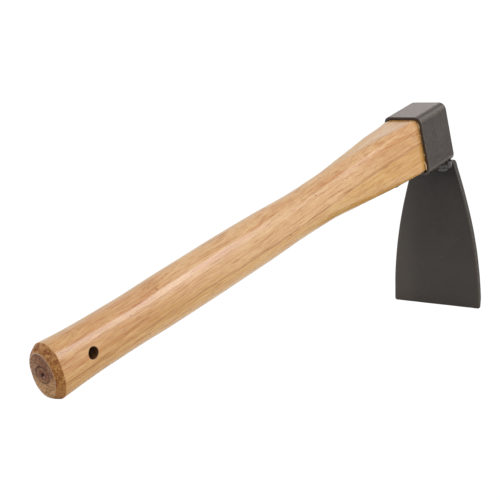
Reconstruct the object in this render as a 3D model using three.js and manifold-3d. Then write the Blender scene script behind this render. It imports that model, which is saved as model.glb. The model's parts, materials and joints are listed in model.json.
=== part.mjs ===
// Short-handled hand hoe: a wooden handle through a rectangular steel tube eye,
// with a flared steel blade welded across under the tube. Millimetres, +Z up.
// The tool stands on its cutting edge and on the lower rim of its butt.
//
// Everything is drawn in a head frame and turned into place by one group:
//   +X along the handle axis towards the head, +Z away from the blade, origin at
//   the handle's axis at the middle of the tube. Distances "u" run the other way, from the tube
//   towards the butt, so X = -u.
import * as THREE from "three";
import { mergeVertices } from "three/addons/utils/BufferGeometryUtils.js";
import Module from "manifold-3d";

const wasm = await Module();
wasm.setup();

// ---------------------------------------------------------------- dimensions
const COLLAR_W = 37.0; // outside, across the handle (Y)
const COLLAR_H = 50.6; // outside, tall way (Z)
const COLLAR_Z = 0.3; // the tube's centre above the handle's axis
const COLLAR_L = 37.8; // along the handle
const COLLAR_R = 5.8; // outside corner radius
const WALL = 2.5; // tube wall

const BLADE_LEAN = 15.45; // degrees from the tube's height towards the butt
const BLADE_TOP_X = 13.3; // handle-side face of the blade at the tube's underside
const BLADE_LEN = 124.2; // from the tube to the cutting edge
const BLADE_T_TOP = 4.6; // thickness at the tube
const BLADE_T_LOW = 2.95; // thickness just above the bevel
const BEVEL_LEN = 8.6; // far-side bevel
const EDGE_LAND = 1.1; // flat left at the cutting edge
const BLADE_HALF_W = [20.1, 27.05, 33.05, 37.85, 41.2, 43.15, 43.85]; // at 7 equal steps from the tube to the edge
const BLADE_CORNER_R = 2.2;
const BLADE_TOP_R = 2.2; // corners at the tube

const AXIS_END = 433.2; // flat butt face, u
const BUTT_CHAMFER_LEN = 5.8;
const BUTT_FACE_SCALE = 0.77; // flat butt face as a share of the section
const HANDLE_FAR_END = -22.2; // far end of the handle, u (stands 3.3 out of the tube)
// handle sections: u, top z, bottom z, half width
const HANDLE = [
  [-22.2, 22.6, -22.15, 15.2],
  [18.0, 22.7, -22.2, 15.35],
  [25.5, 22.9, -22.45, 15.6],
  [40.0, 23.1, -22.4, 15.2],
  [58.4, 23.25, -21.8, 14.6],
  [80.3, 22.6, -21.05, 13.8],
  [105.9, 21.6, -20.0, 13.2],
  [135.0, 19.75, -18.3, 12.7],
  [171.6, 18.8, -17.9, 12.7],
  [211.7, 19.75, -18.95, 12.9],
  [248.2, 19.95, -19.3, 13.15],
  [284.7, 19.7, -19.55, 13.3],
  [321.2, 19.2, -19.35, 13.3],
  [357.7, 18.1, -18.4, 13.3],
  [386.9, 18.15, -18.35, 13.4],
  [408.8, 18.8, -19.05, 13.6],
  [427.4, 19.95, -20.05, 13.9],
];
const SQUARENESS = 0.78; // how far the section is a rounded rectangle in the tube
const SQUARE_FROM = 29.0; // u where it starts to turn oval
const SQUARE_TO = 138.0; // u where it is fully oval
const TENON_R = 4.4;
const TENON_SHIFT_Y = 0.3; // the handle sits off centre in the tube
const TENON_FLAT_Z = -21.2; // underside planed flat for the shim
const PLANED_TO = 56.0; // u where the planed flat ends

const HOLE_U = 400.3;
const HOLE_Z = 0.95;
const HOLE_R = 4.1;
const CENTRE_R = 5.9; // lathe centre mark on the butt
const CENTRE_DEPTH = 0.6;

const SHIM_T = 0.85;
const SHIM_HALF_W = 9.2;
const SHIM_FROM = -17.0;
const SHIM_TO = 55.6;

const INNER_LEG_X = 5.2; // inner weld: along the tube's underside
const INNER_LEG_Z = 6.6; // and down the blade
const INNER_HALF_LEN = 18.2;
const OUTER_LEG_X = 2.2;
const OUTER_LEG_Z = 3.6;
const OUTER_HALF_LEN = 14.5;

const KERF_DEPTH = 31.0; // saw cut from the far end
const WEDGE_DEPTH = 28.0;
const WEDGE_T = 5.0; // at its thick end
const WEDGE_TIP = 1.4;
const STEEL_WEDGE_W = 20.0;
const STEEL_WEDGE_DEPTH = 19.0;
const STEEL_WEDGE_T = 3.2;
const STEEL_WEDGE_TIP = 0.9;
const STEEL_WEDGE_Z = 3.0;

const GAP = 0.25; // between touching pieces

const rad = (d) => (d * Math.PI) / 180;
const UNDERSIDE_Z = COLLAR_Z - COLLAR_H / 2; // the tube's underside
const FLOOR_Z = UNDERSIDE_Z + WALL;

// ---------------------------------------------------------------- helpers
function solid(geometry) {
  let g = geometry.clone();
  for (const name of Object.keys(g.attributes)) if (name !== "position") g.deleteAttribute(name);
  g = mergeVertices(g, 1e-4);
  return new wasm.Manifold(
    new wasm.Mesh({
      numProp: 3,
      vertProperties: new Float32Array(g.attributes.position.array),
      triVerts: new Uint32Array(g.index.array),
    }),
  );
}
function geometryOf(manifold) {
  const m = manifold.getMesh();
  const v = new Float32Array(m.numVert * 3);
  for (let i = 0; i < m.numVert; i++) v.set(m.vertProperties.subarray(i * m.numProp, i * m.numProp + 3), i * 3);
  let g = new THREE.BufferGeometry();
  g.setAttribute("position", new THREE.BufferAttribute(v, 3));
  g.setIndex(new THREE.BufferAttribute(new Uint32Array(m.triVerts), 1));
  g.computeVertexNormals();
  return g;
}
// Shape in a plane given by two unit vectors, extruded along their cross product, centred on it.
function prism(points, ax, ay, depth, at = [0, 0, 0], holes = []) {
  const shape = new THREE.Shape(points.map((p) => new THREE.Vector2(p[0], p[1])));
  for (const h of holes) shape.holes.push(new THREE.Path(h.map((p) => new THREE.Vector2(p[0], p[1]))));
  const g = new THREE.ExtrudeGeometry(shape, { depth, bevelEnabled: false, curveSegments: 8 });
  g.translate(0, 0, -depth / 2);
  const X = new THREE.Vector3(...ax);
  const Y = new THREE.Vector3(...ay);
  const Z = new THREE.Vector3().crossVectors(X, Y);
  g.applyMatrix4(new THREE.Matrix4().makeBasis(X, Y, Z).setPosition(...at));
  return g;
}
function roundedRect(w, h, r, n = 6) {
  const out = [];
  const c = [
    [w / 2 - r, h / 2 - r, 0],
    [-w / 2 + r, h / 2 - r, 90],
    [-w / 2 + r, -h / 2 + r, 180],
    [w / 2 - r, -h / 2 + r, 270],
  ];
  for (const [x, y, a] of c)
    for (let i = 0; i <= n; i++) {
      const t = rad(a + (90 * i) / n);
      out.push([x + r * Math.cos(t), y + r * Math.sin(t)]);
    }
  return out;
}
// Smooth curve through [x, y] pairs (cubic Hermite, slopes that never overshoot).
function smoothCurve(xs, ys) {
  const n = xs.length;
  const h = [];
  const s = [];
  for (let i = 0; i < n - 1; i++) {
    h.push(xs[i + 1] - xs[i]);
    s.push((ys[i + 1] - ys[i]) / h[i]);
  }
  const m = new Array(n).fill(0);
  m[0] = s[0];
  m[n - 1] = s[n - 2];
  for (let i = 1; i < n - 1; i++) {
    if (s[i - 1] * s[i] <= 0) continue;
    const a = 2 * h[i] + h[i - 1];
    const b = h[i] + 2 * h[i - 1];
    m[i] = (a + b) / (a / s[i - 1] + b / s[i]);
  }
  return (x) => {
    let i = 0;
    while (i < n - 2 && x > xs[i + 1]) i++;
    const t = (x - xs[i]) / h[i];
    const t2 = t * t;
    const t3 = t2 * t;
    return (
      (2 * t3 - 3 * t2 + 1) * ys[i] + (t3 - 2 * t2 + t) * h[i] * m[i] + (-2 * t3 + 3 * t2) * ys[i + 1] + (t3 - t2) * h[i] * m[i + 1]
    );
  };
}
const column = (k) => smoothCurve(HANDLE.map((r) => r[0]), HANDLE.map((r) => r[k]));
const topAt = column(1);
const bottomAt = column(2);
const halfAt = column(3);
const ease = (t) => {
  const c = Math.min(1, Math.max(0, t));
  return c * c * (3 - 2 * c);
};

// One ring of the handle: a mix of an ellipse and a rounded rectangle of the same size.
const ARC = 6;
function ring(u, scale = 1) {
  const zt = topAt(Math.min(u, 427.4));
  const zb = bottomAt(Math.min(u, 427.4));
  const a = halfAt(Math.min(u, 427.4)) * scale;
  const b = ((zt - zb) / 2) * scale;
  const zc = (zt + zb) / 2;
  const m = SQUARENESS * (1 - ease((u - SQUARE_FROM) / (SQUARE_TO - SQUARE_FROM)));
  const yc = TENON_SHIFT_Y * (1 - ease((u - 20) / 60));
  const pts = [];
  for (let q = 0; q < 4; q++)
    for (let i = 0; i < ARC; i++) {
      const f = q % 2 ? ARC - 1 - i : i;
      const t = ((Math.PI / 2) * (f + 0.5)) / ARC;
      const c = Math.cos(t);
      const s = Math.sin(t);
      const e = Math.hypot(a * c, b * s);
      const y = (1 - m) * ((a * a * c) / e) + m * (a - TENON_R + TENON_R * c);
      const z = (1 - m) * ((b * b * s) / e) + m * (b - TENON_R + TENON_R * s);
      pts.push([-u, yc + (q === 1 || q === 2 ? -y : y), zc + (q >= 2 ? -z : z)]);
    }
  return pts;
}
function loft(rings) {
  const n = rings[0].length;
  const v = [];
  const tri = [];
  for (const r of rings) for (const p of r) v.push(...p);
  for (let k = 0; k < rings.length - 1; k++)
    for (let i = 0; i < n; i++) {
      const j = (i + 1) % n;
      const a = k * n + i;
      const b = k * n + j;
      tri.push(a, a + n, b, b, a + n, b + n);
    }
  const cap = (k, flip) => {
    const c = v.length / 3;
    const mid = [0, 1, 2].map((d) => rings[k].reduce((s, p) => s + p[d], 0) / n);
    v.push(...mid);
    for (let i = 0; i < n; i++) {
      const j = (i + 1) % n;
      if (flip) tri.push(c, k * n + j, k * n + i);
      else tri.push(c, k * n + i, k * n + j);
    }
  };
  cap(0, false);
  cap(rings.length - 1, true);
  const g = new THREE.BufferGeometry();
  g.setAttribute("position", new THREE.Float32BufferAttribute(v, 3));
  g.setIndex(tri);
  return g;
}

// ---------------------------------------------------------------- wedges
// A wedge with its thick end past the far end of the handle; "grow" makes the pocket for it.
function wedgeProfile(thick, tip, depth, grow, out) {
  const x0 = -HANDLE_FAR_END + out;
  const x1 = -HANDLE_FAR_END - depth - grow;
  const slope = (thick - tip) / 2 / depth;
  const t0 = thick / 2 + slope * out + grow;
  return [
    [x0, t0],
    [x1, tip / 2 + grow],
    [x1, -tip / 2 - grow],
    [x0, -t0],
  ];
}
const WEDGE_PROUD = 0.6;
const kerfHeight = 60; // the saw cut runs the full height of the tenon
const woodWedgeBlank = (grow, out, height, z = 0) =>
  solid(prism(wedgeProfile(WEDGE_T, WEDGE_TIP, WEDGE_DEPTH, grow, out), [1, 0, 0], [0, 1, 0], height, [0, 0, z]));
const steelWedgeBlank = (grow, out) =>
  solid(
    prism(
      wedgeProfile(STEEL_WEDGE_T, STEEL_WEDGE_TIP, STEEL_WEDGE_DEPTH, grow, out),
      [1, 0, 0],
      [0, 0, 1],
      STEEL_WEDGE_W + 2 * grow,
      [0, 0, STEEL_WEDGE_Z],
    ),
  );

// ---------------------------------------------------------------- handle
const stations = [-22.2, -8, 6, 18, 25.5, 32, 40, 49, 58.4, 69, 80.3, 93, 105.9, 120, 135, 153, 171.6, 191, 211.7, 230, 248.2, 266, 284.7, 303, 321.2, 340, 357.7, 373, 386.9, 398, 408.8, 418, 427.4];
const rings = stations.map((u) => ring(u));
rings.push(ring(430.6, 0.9));
rings.push(ring(AXIS_END, BUTT_FACE_SCALE));
let handleSolid = solid(loft(rings));
if (handleSolid.volume() < 0) throw new Error("handle is inside out");
// planed flat under the tenon
handleSolid = handleSolid.subtract(
  solid(prism([[-PLANED_TO, TENON_FLAT_Z - 6], [60, TENON_FLAT_Z - 6], [60, TENON_FLAT_Z], [-PLANED_TO, TENON_FLAT_Z]], [1, 0, 0], [0, 0, 1], 80)),
);
// hanging hole
const holeCutter = new THREE.CylinderGeometry(HOLE_R, HOLE_R, 60, 24);
holeCutter.translate(-HOLE_U, 0, HOLE_Z);
handleSolid = handleSolid.subtract(solid(holeCutter));
// lathe centre mark: a shallow ring groove in the butt face
const groove = new THREE.LatheGeometry(
  [
    new THREE.Vector2(CENTRE_R - 0.55, -3),
    new THREE.Vector2(CENTRE_R + 0.55, -3),
    new THREE.Vector2(CENTRE_R + 0.55, 0),
    new THREE.Vector2(CENTRE_R, CENTRE_DEPTH),
    new THREE.Vector2(CENTRE_R - 0.55, 0),
    new THREE.Vector2(CENTRE_R - 0.55, -3),
  ],
  28,
);
groove.rotateZ(-Math.PI / 2); // its axis, +Y, now runs along +X, into the butt
groove.translate(-AXIS_END, 0, 0);
let grooveSolid = solid(groove);
if (grooveSolid.volume() < 0) {
  groove.index.array.reverse();
  grooveSolid = solid(groove);
}
handleSolid = handleSolid.subtract(grooveSolid);
// saw kerf for the wooden wedge, and the split the steel wedge makes
handleSolid = handleSolid.subtract(woodWedgeBlank(GAP, 4, kerfHeight));
handleSolid = handleSolid.subtract(
  solid(
    prism(
      [[-HANDLE_FAR_END - KERF_DEPTH, -0.7], [-HANDLE_FAR_END - WEDGE_DEPTH + 2, -0.7], [-HANDLE_FAR_END - WEDGE_DEPTH + 2, 0.7], [-HANDLE_FAR_END - KERF_DEPTH, 0.7]],
      [1, 0, 0],
      [0, 1, 0],
      kerfHeight,
    ),
  ),
);
handleSolid = handleSolid.subtract(steelWedgeBlank(GAP, 4));

const woodWedgeSolid = woodWedgeBlank(0, WEDGE_PROUD, 41.0, 0.45).subtract(steelWedgeBlank(GAP, 4));
const steelWedgeSolid = steelWedgeBlank(0, WEDGE_PROUD + 0.5);

// ---------------------------------------------------------------- collar
const collarSolid = solid(
  prism(roundedRect(COLLAR_W, COLLAR_H, COLLAR_R), [0, 1, 0], [0, 0, 1], COLLAR_L, [0, 0, COLLAR_Z], [
    roundedRect(COLLAR_W - 2 * WALL, COLLAR_H - 2 * WALL, COLLAR_R - WALL),
  ]),
);

// ---------------------------------------------------------------- blade
// Blade frame: s runs down the blade from the tube, n is away from the handle.
const lean = rad(BLADE_LEAN);
const down = [-Math.sin(lean), 0, -Math.cos(lean)];
const away = [Math.cos(lean), 0, -Math.sin(lean)];
const bladeTop = [BLADE_TOP_X, 0, UNDERSIDE_Z];
const halfW = smoothCurve(
  BLADE_HALF_W.map((_, i) => (i * BLADE_LEN) / 6),
  BLADE_HALF_W,
);
const outline = [];
const STEPS = 24;
outline.push([-6, halfW(0) - BLADE_TOP_R]);
for (let i = 0; i <= 4; i++) {
  const t = rad((90 * i) / 4);
  outline.push([BLADE_TOP_R * (1 - Math.cos(t)), halfW(0) - BLADE_TOP_R * (1 - Math.sin(t))]);
}
for (let i = 1; i <= STEPS; i++) {
  const s = BLADE_TOP_R + ((BLADE_LEN - BLADE_CORNER_R - BLADE_TOP_R) * i) / STEPS;
  outline.push([s, halfW(s)]);
}
for (let i = 1; i <= 5; i++) {
  const t = rad((90 * i) / 5);
  outline.push([BLADE_LEN - BLADE_CORNER_R + BLADE_CORNER_R * Math.sin(t), halfW(BLADE_LEN) - BLADE_CORNER_R + BLADE_CORNER_R * Math.cos(t)]);
}
const mirrored = outline.map(([s, y]) => [s, -y]).reverse();
const bladeOutline = [...outline, ...mirrored];
const bladeBlank = solid(prism(bladeOutline, down, [0, 1, 0], 30, bladeTop));
const bladeSide = [
  [-6, 0],
  [-6, BLADE_T_TOP],
  [0, BLADE_T_TOP],
  [BLADE_LEN - BEVEL_LEN, BLADE_T_LOW],
  [BLADE_LEN + 4, EDGE_LAND - ((BLADE_T_LOW - EDGE_LAND) / BEVEL_LEN) * 4],
  [BLADE_LEN + 4, 0],
];
let bladeSolid = bladeBlank.intersect(solid(prism(bladeSide, down, away, 120, bladeTop)));
// the top is cut level with the tube's underside
bladeSolid = bladeSolid.subtract(
  solid(prism([[-40, UNDERSIDE_Z - GAP], [60, UNDERSIDE_Z - GAP], [60, 20], [-40, 20]], [1, 0, 0], [0, 0, 1], 120)),
);

// ---------------------------------------------------------------- weld beads
// Each bead fills the corner between the tube's underside and one face of the blade.
function bead(side, legX, legZ, halfLength) {
  const base = UNDERSIDE_Z - GAP;
  const taper = (BLADE_T_TOP - BLADE_T_LOW) / (BLADE_LEN - BEVEL_LEN);
  const off = GAP / Math.cos(lean);
  const front = (z) => BLADE_TOP_X + Math.tan(lean) * (z - UNDERSIDE_Z) - off;
  const back = (z) => BLADE_TOP_X + Math.tan(lean) * (z - UNDERSIDE_Z) + (BLADE_T_TOP + (taper * (z - UNDERSIDE_Z)) / Math.cos(lean)) / Math.cos(lean) + off;
  const face = side < 0 ? front : back;
  const zl = base - legZ;
  const pts = [[face(base), base], [face(base) + side * legX, base]];
  // slightly full surface from the tube to the blade
  for (let i = 1; i < 6; i++) {
    const t = i / 6;
    const x = (1 - t) * (face(base) + side * legX) + t * face(zl);
    pts.push([x + side * 0.16 * legX * Math.sin(Math.PI * t), base - legZ * t]);
  }
  pts.push([face(zl), zl]);
  return solid(prism(side < 0 ? pts : pts.reverse(), [1, 0, 0], [0, 0, 1], 2 * halfLength));
}
const innerBead = bead(-1, INNER_LEG_X, INNER_LEG_Z, INNER_HALF_LEN);
const outerBead = bead(1, OUTER_LEG_X, OUTER_LEG_Z, OUTER_HALF_LEN);

// ---------------------------------------------------------------- shim
const shimZ = FLOOR_Z + GAP;
const shimSolid = solid(
  prism(
    [[-SHIM_TO, -SHIM_HALF_W], [-SHIM_FROM, -SHIM_HALF_W], [-SHIM_FROM, SHIM_HALF_W], [-SHIM_TO, SHIM_HALF_W]],
    [1, 0, 0],
    [0, 1, 0],
    SHIM_T,
    [0, 0, shimZ + SHIM_T / 2],
  ),
);

// ---------------------------------------------------------------- placing
// The tool leans back until both the cutting edge and the butt's lower rim touch the ground.
const lowestOf = (angle, box) => {
  let low = Infinity;
  for (const [x, z] of box) low = Math.min(low, Math.sin(angle) * x + Math.cos(angle) * z);
  return low;
};
const corners = (m, test) => {
  const mesh = m.getMesh();
  const out = [];
  for (let i = 0; i < mesh.numVert; i++) {
    const x = mesh.vertProperties[i * mesh.numProp];
    const z = mesh.vertProperties[i * mesh.numProp + 2];
    if (test(x, z)) out.push([x, z]);
  }
  return out;
};
const edgePoints = corners(bladeSolid, (x, z) => z < -120);
const buttPoints = corners(handleSolid, (x, z) => x < -400 && z < 0);
let a0 = rad(5);
let a1 = rad(30);
for (let i = 0; i < 60; i++) {
  const mid = (a0 + a1) / 2;
  if (lowestOf(mid, edgePoints) < lowestOf(mid, buttPoints)) a0 = mid;
  else a1 = mid;
}
const STAND = (a0 + a1) / 2; // slope of the handle

const head = new THREE.Group();
head.rotation.y = -STAND;
const part = new THREE.Group();
part.add(head);

const wood = { color: 0xdcb080, roughness: 0.45, metalness: 0 };
const steel = { color: 0x55504d, roughness: 0.5, metalness: 0.8 };
function add(name, m, look) {
  const mesh = new THREE.Mesh(geometryOf(m), new THREE.MeshStandardMaterial(look));
  mesh.name = name;
  head.add(mesh);
}
add("handle", handleSolid, wood);
add("wood_wedge", woodWedgeSolid, { color: 0xb98a58, roughness: 0.7, metalness: 0 });
add("steel_wedge", steelWedgeSolid, { color: 0x6b6663, roughness: 0.5, metalness: 0.8 });
add("steel_shim", shimSolid, { color: 0x4a4541, roughness: 0.5, metalness: 0.8 });
add("collar", collarSolid, steel);
add("blade", bladeSolid, { ...steel, color: 0x4c4743 });
add("weld_bead_inner", innerBead, { color: 0x6a6562, roughness: 0.4, metalness: 0.8 });
add("weld_bead_outer", outerBead, { color: 0x6a6562, roughness: 0.4, metalness: 0.8 });

// origin at the bottom centre of the whole tool
part.updateMatrixWorld(true);
const bounds = new THREE.Box3().setFromObject(part, true);
head.position.set(-(bounds.min.x + bounds.max.x) / 2, -(bounds.min.y + bounds.max.y) / 2, -bounds.min.z);

export default part;
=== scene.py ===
"""Looks for the hand hoe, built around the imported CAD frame.

Lengths in this file are millimetres in the head frame unless a name says otherwise: +X runs along the handle towards
the head, +Z away from the blade, and the origin is on the handle's axis at the middle of the tube. head_to_world() turns them into metres.
"""
import json
import math

import bmesh
import bpy
import numpy as np
from mathutils import Matrix, Vector


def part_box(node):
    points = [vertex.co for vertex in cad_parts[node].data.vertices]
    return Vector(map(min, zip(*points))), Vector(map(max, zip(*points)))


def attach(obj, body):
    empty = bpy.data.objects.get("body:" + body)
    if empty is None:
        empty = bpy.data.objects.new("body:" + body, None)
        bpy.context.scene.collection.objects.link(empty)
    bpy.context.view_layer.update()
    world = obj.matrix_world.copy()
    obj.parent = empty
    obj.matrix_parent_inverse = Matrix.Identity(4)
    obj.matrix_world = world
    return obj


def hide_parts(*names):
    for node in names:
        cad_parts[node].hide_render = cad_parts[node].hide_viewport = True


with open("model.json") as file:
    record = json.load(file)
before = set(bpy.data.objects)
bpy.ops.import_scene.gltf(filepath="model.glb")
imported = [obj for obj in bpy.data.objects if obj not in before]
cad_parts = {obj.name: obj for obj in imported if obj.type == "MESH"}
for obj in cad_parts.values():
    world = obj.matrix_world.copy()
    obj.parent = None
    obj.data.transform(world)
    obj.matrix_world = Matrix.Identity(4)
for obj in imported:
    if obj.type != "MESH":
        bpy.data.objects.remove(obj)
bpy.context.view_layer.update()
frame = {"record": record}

# ------------------------------------------------------------------ head frame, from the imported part
_c0, _c1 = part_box("collar")
T = np.array((_c0 + _c1) / 2, float)  # tube centre, metres
_top = next(m for m in frame["record"]["mounts"] if m["name"] == "eye_top_face")
EZ = np.array(_top["axis"], float)
EZ /= np.linalg.norm(EZ)
EY = np.array([0.0, 1.0, 0.0])
EX = np.cross(EY, EZ)
TUBE_Z = 0.3  # the tube's centre above the handle's axis
T = T - EZ * TUBE_Z / 1000.0


def head_to_world(P):
    P = np.asarray(P, float) / 1000.0
    return P[..., 0:1] * EX + P[..., 1:2] * EY + P[..., 2:3] * EZ + T


# ------------------------------------------------------------------ dimensions (as in the CAD part)
COLLAR_W, COLLAR_H, COLLAR_L, COLLAR_R, WALL = 37.0, 50.6, 37.8, 5.8, 2.5
LEAN = math.radians(15.45)
BLADE_TOP_X, BLADE_LEN = 13.3, 124.2
BLADE_T_TOP, BLADE_T_LOW, BEVEL_LEN, EDGE_LAND = 4.6, 2.95, 8.6, 1.1
BLADE_HALF_W = [20.1, 27.05, 33.05, 37.85, 41.2, 43.15, 43.85]
BLADE_CORNER_R, BLADE_TOP_R = 2.2, 2.2
AXIS_END, CHAMFER_FROM = 433.2, 427.4
FAR_END = -22.2
HANDLE = np.array(
    [
        [-22.2, 22.6, -22.15, 15.2],
        [18.0, 22.7, -22.2, 15.35],
        [25.5, 22.9, -22.45, 15.6],
        [40.0, 23.1, -22.4, 15.2],
        [58.4, 23.25, -21.8, 14.6],
        [80.3, 22.6, -21.05, 13.8],
        [105.9, 21.6, -20.0, 13.2],
        [135.0, 19.75, -18.3, 12.7],
        [171.6, 18.8, -17.9, 12.7],
        [211.7, 19.75, -18.95, 12.9],
        [248.2, 19.95, -19.3, 13.15],
        [284.7, 19.7, -19.55, 13.3],
        [321.2, 19.2, -19.35, 13.3],
        [357.7, 18.1, -18.4, 13.3],
        [386.9, 18.15, -18.35, 13.4],
        [408.8, 18.8, -19.05, 13.6],
        [427.4, 19.95, -20.05, 13.9],
    ]
)
TENON_R = 3.9
TENON_FLAT_Z = -21.2
PLANED_TO = 56.0
HOLE_U, HOLE_Z, HOLE_R = 400.3, 0.95, 4.1
SHIM_T, SHIM_HALF_W, SHIM_FROM, SHIM_TO = 0.85, 9.2, -17.0, 55.6
UNDER_Z = TUBE_Z - COLLAR_H / 2  # the tube's underside
FLOOR_Z = UNDER_Z + WALL
WEDGE_DEPTH, WEDGE_T, WEDGE_TIP = 28.0, 5.0, 1.4
STEEL_WEDGE_W, STEEL_WEDGE_DEPTH, STEEL_WEDGE_T, STEEL_WEDGE_TIP, STEEL_WEDGE_Z = 20.0, 19.0, 3.2, 0.9, 3.0
KERF_DEPTH = 31.0


def smooth_curve(xs, ys):
    xs, ys = np.asarray(xs, float), np.asarray(ys, float)
    n, h = len(xs), np.diff(xs)
    s = np.diff(ys) / h
    m = np.zeros(n)
    m[0], m[-1] = s[0], s[-1]
    for i in range(1, n - 1):
        if s[i - 1] * s[i] > 0:
            a, b = 2 * h[i] + h[i - 1], h[i] + 2 * h[i - 1]
            m[i] = (a + b) / (a / s[i - 1] + b / s[i])

    def f(x):
        x = np.asarray(x, float)
        i = np.clip(np.searchsorted(xs, x) - 1, 0, n - 2)
        t = (x - xs[i]) / h[i]
        t2, t3 = t * t, t * t * t
        return (
            (2 * t3 - 3 * t2 + 1) * ys[i]
            + (t3 - 2 * t2 + t) * h[i] * m[i]
            + (-2 * t3 + 3 * t2) * ys[i + 1]
            + (t3 - t2) * h[i] * m[i + 1]
        )

    return f


top_at, bottom_at, half_at = (smooth_curve(HANDLE[:, 0], HANDLE[:, k]) for k in (1, 2, 3))
half_w = smooth_curve([i * BLADE_LEN / 6 for i in range(7)], BLADE_HALF_W)


def ease(t):
    t = np.clip(t, 0.0, 1.0)
    return t * t * (3 - 2 * t)


# ------------------------------------------------------------------ mesh helpers
def build(name, P, faces, material, wear_and_sheen=None, recalc=True, sharp=None, collect=None):
    """A mesh object from head-frame points. wear_and_sheen is one number a point, for the materials: edge wear, and on
    the tube's corners a painted highlight.
    """
    W = head_to_world(np.asarray(P, float))
    me = bpy.data.meshes.new(name)
    me.from_pydata([tuple(v) for v in W], [], [tuple(int(i) for i in f) for f in faces])
    if wear_and_sheen is not None:
        a = me.attributes.new("wear_and_sheen", "FLOAT", "POINT")
        a.data.foreach_set("value", np.asarray(wear_and_sheen, np.float32))
    if recalc:
        bm = bmesh.new()
        bm.from_mesh(me)
        bmesh.ops.remove_doubles(bm, verts=bm.verts, dist=1e-7)
        bmesh.ops.dissolve_degenerate(bm, edges=bm.edges, dist=1e-8)
        bmesh.ops.recalc_face_normals(bm, faces=bm.faces)
        bm.to_mesh(me)
        bm.free()
    me.polygons.foreach_set("use_smooth", [True] * len(me.polygons))
    if sharp is not None:
        me.set_sharp_from_angle(angle=math.radians(sharp))
    me.materials.append(material)
    me.update()
    ob = bpy.data.objects.new(name, me)
    bpy.context.scene.collection.objects.link(ob)
    return ob


def bridge(rows_a, rows_b, closed=True):
    n = len(rows_a)
    out = []
    for i in range(n if closed else n - 1):
        j = (i + 1) % n
        out.append((rows_a[i], rows_a[j], rows_b[j], rows_b[i]))
    return out


class Cloud:
    """Points and faces gathered piece by piece."""

    def __init__(self):
        self.P, self.F, self.W = [], [], []

    def ring(self, pts, wear_and_sheen=0.0):
        pts = np.asarray(pts, float)
        start = len(self.P)
        self.P.extend(pts.tolist())
        w = np.broadcast_to(np.asarray(wear_and_sheen, float), (len(pts),))
        self.W.extend(w.tolist())
        return list(range(start, start + len(pts)))

    def point(self, p, wear_and_sheen=0.0):
        self.P.append(list(map(float, p)))
        self.W.append(float(wear_and_sheen))
        return len(self.P) - 1

    def skin(self, a, b, closed=True):
        self.F.extend(bridge(a, b, closed))

    def fan(self, ring, centre):
        n = len(ring)
        for i in range(n):
            self.F.append((ring[i], ring[(i + 1) % n], centre))


def wave(*args):
    """A smooth, repeatable irregularity from a few sines, about -1 to 1."""
    s = 0.0
    total = 0.0
    for k, (amp, f) in enumerate(((1.0, 1.0), (0.6, 1.9), (0.4, 3.3), (0.25, 5.1))):
        ph = 1.7 * k + 0.3
        v = 0.0
        for j, x in enumerate(args):
            v = v + np.asarray(x, float) * f * (1.0 + 0.37 * j * (k % 2)) + 2.1 * j
        s = s + amp * np.sin(v + ph)
        total += amp
    return s / total


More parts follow.
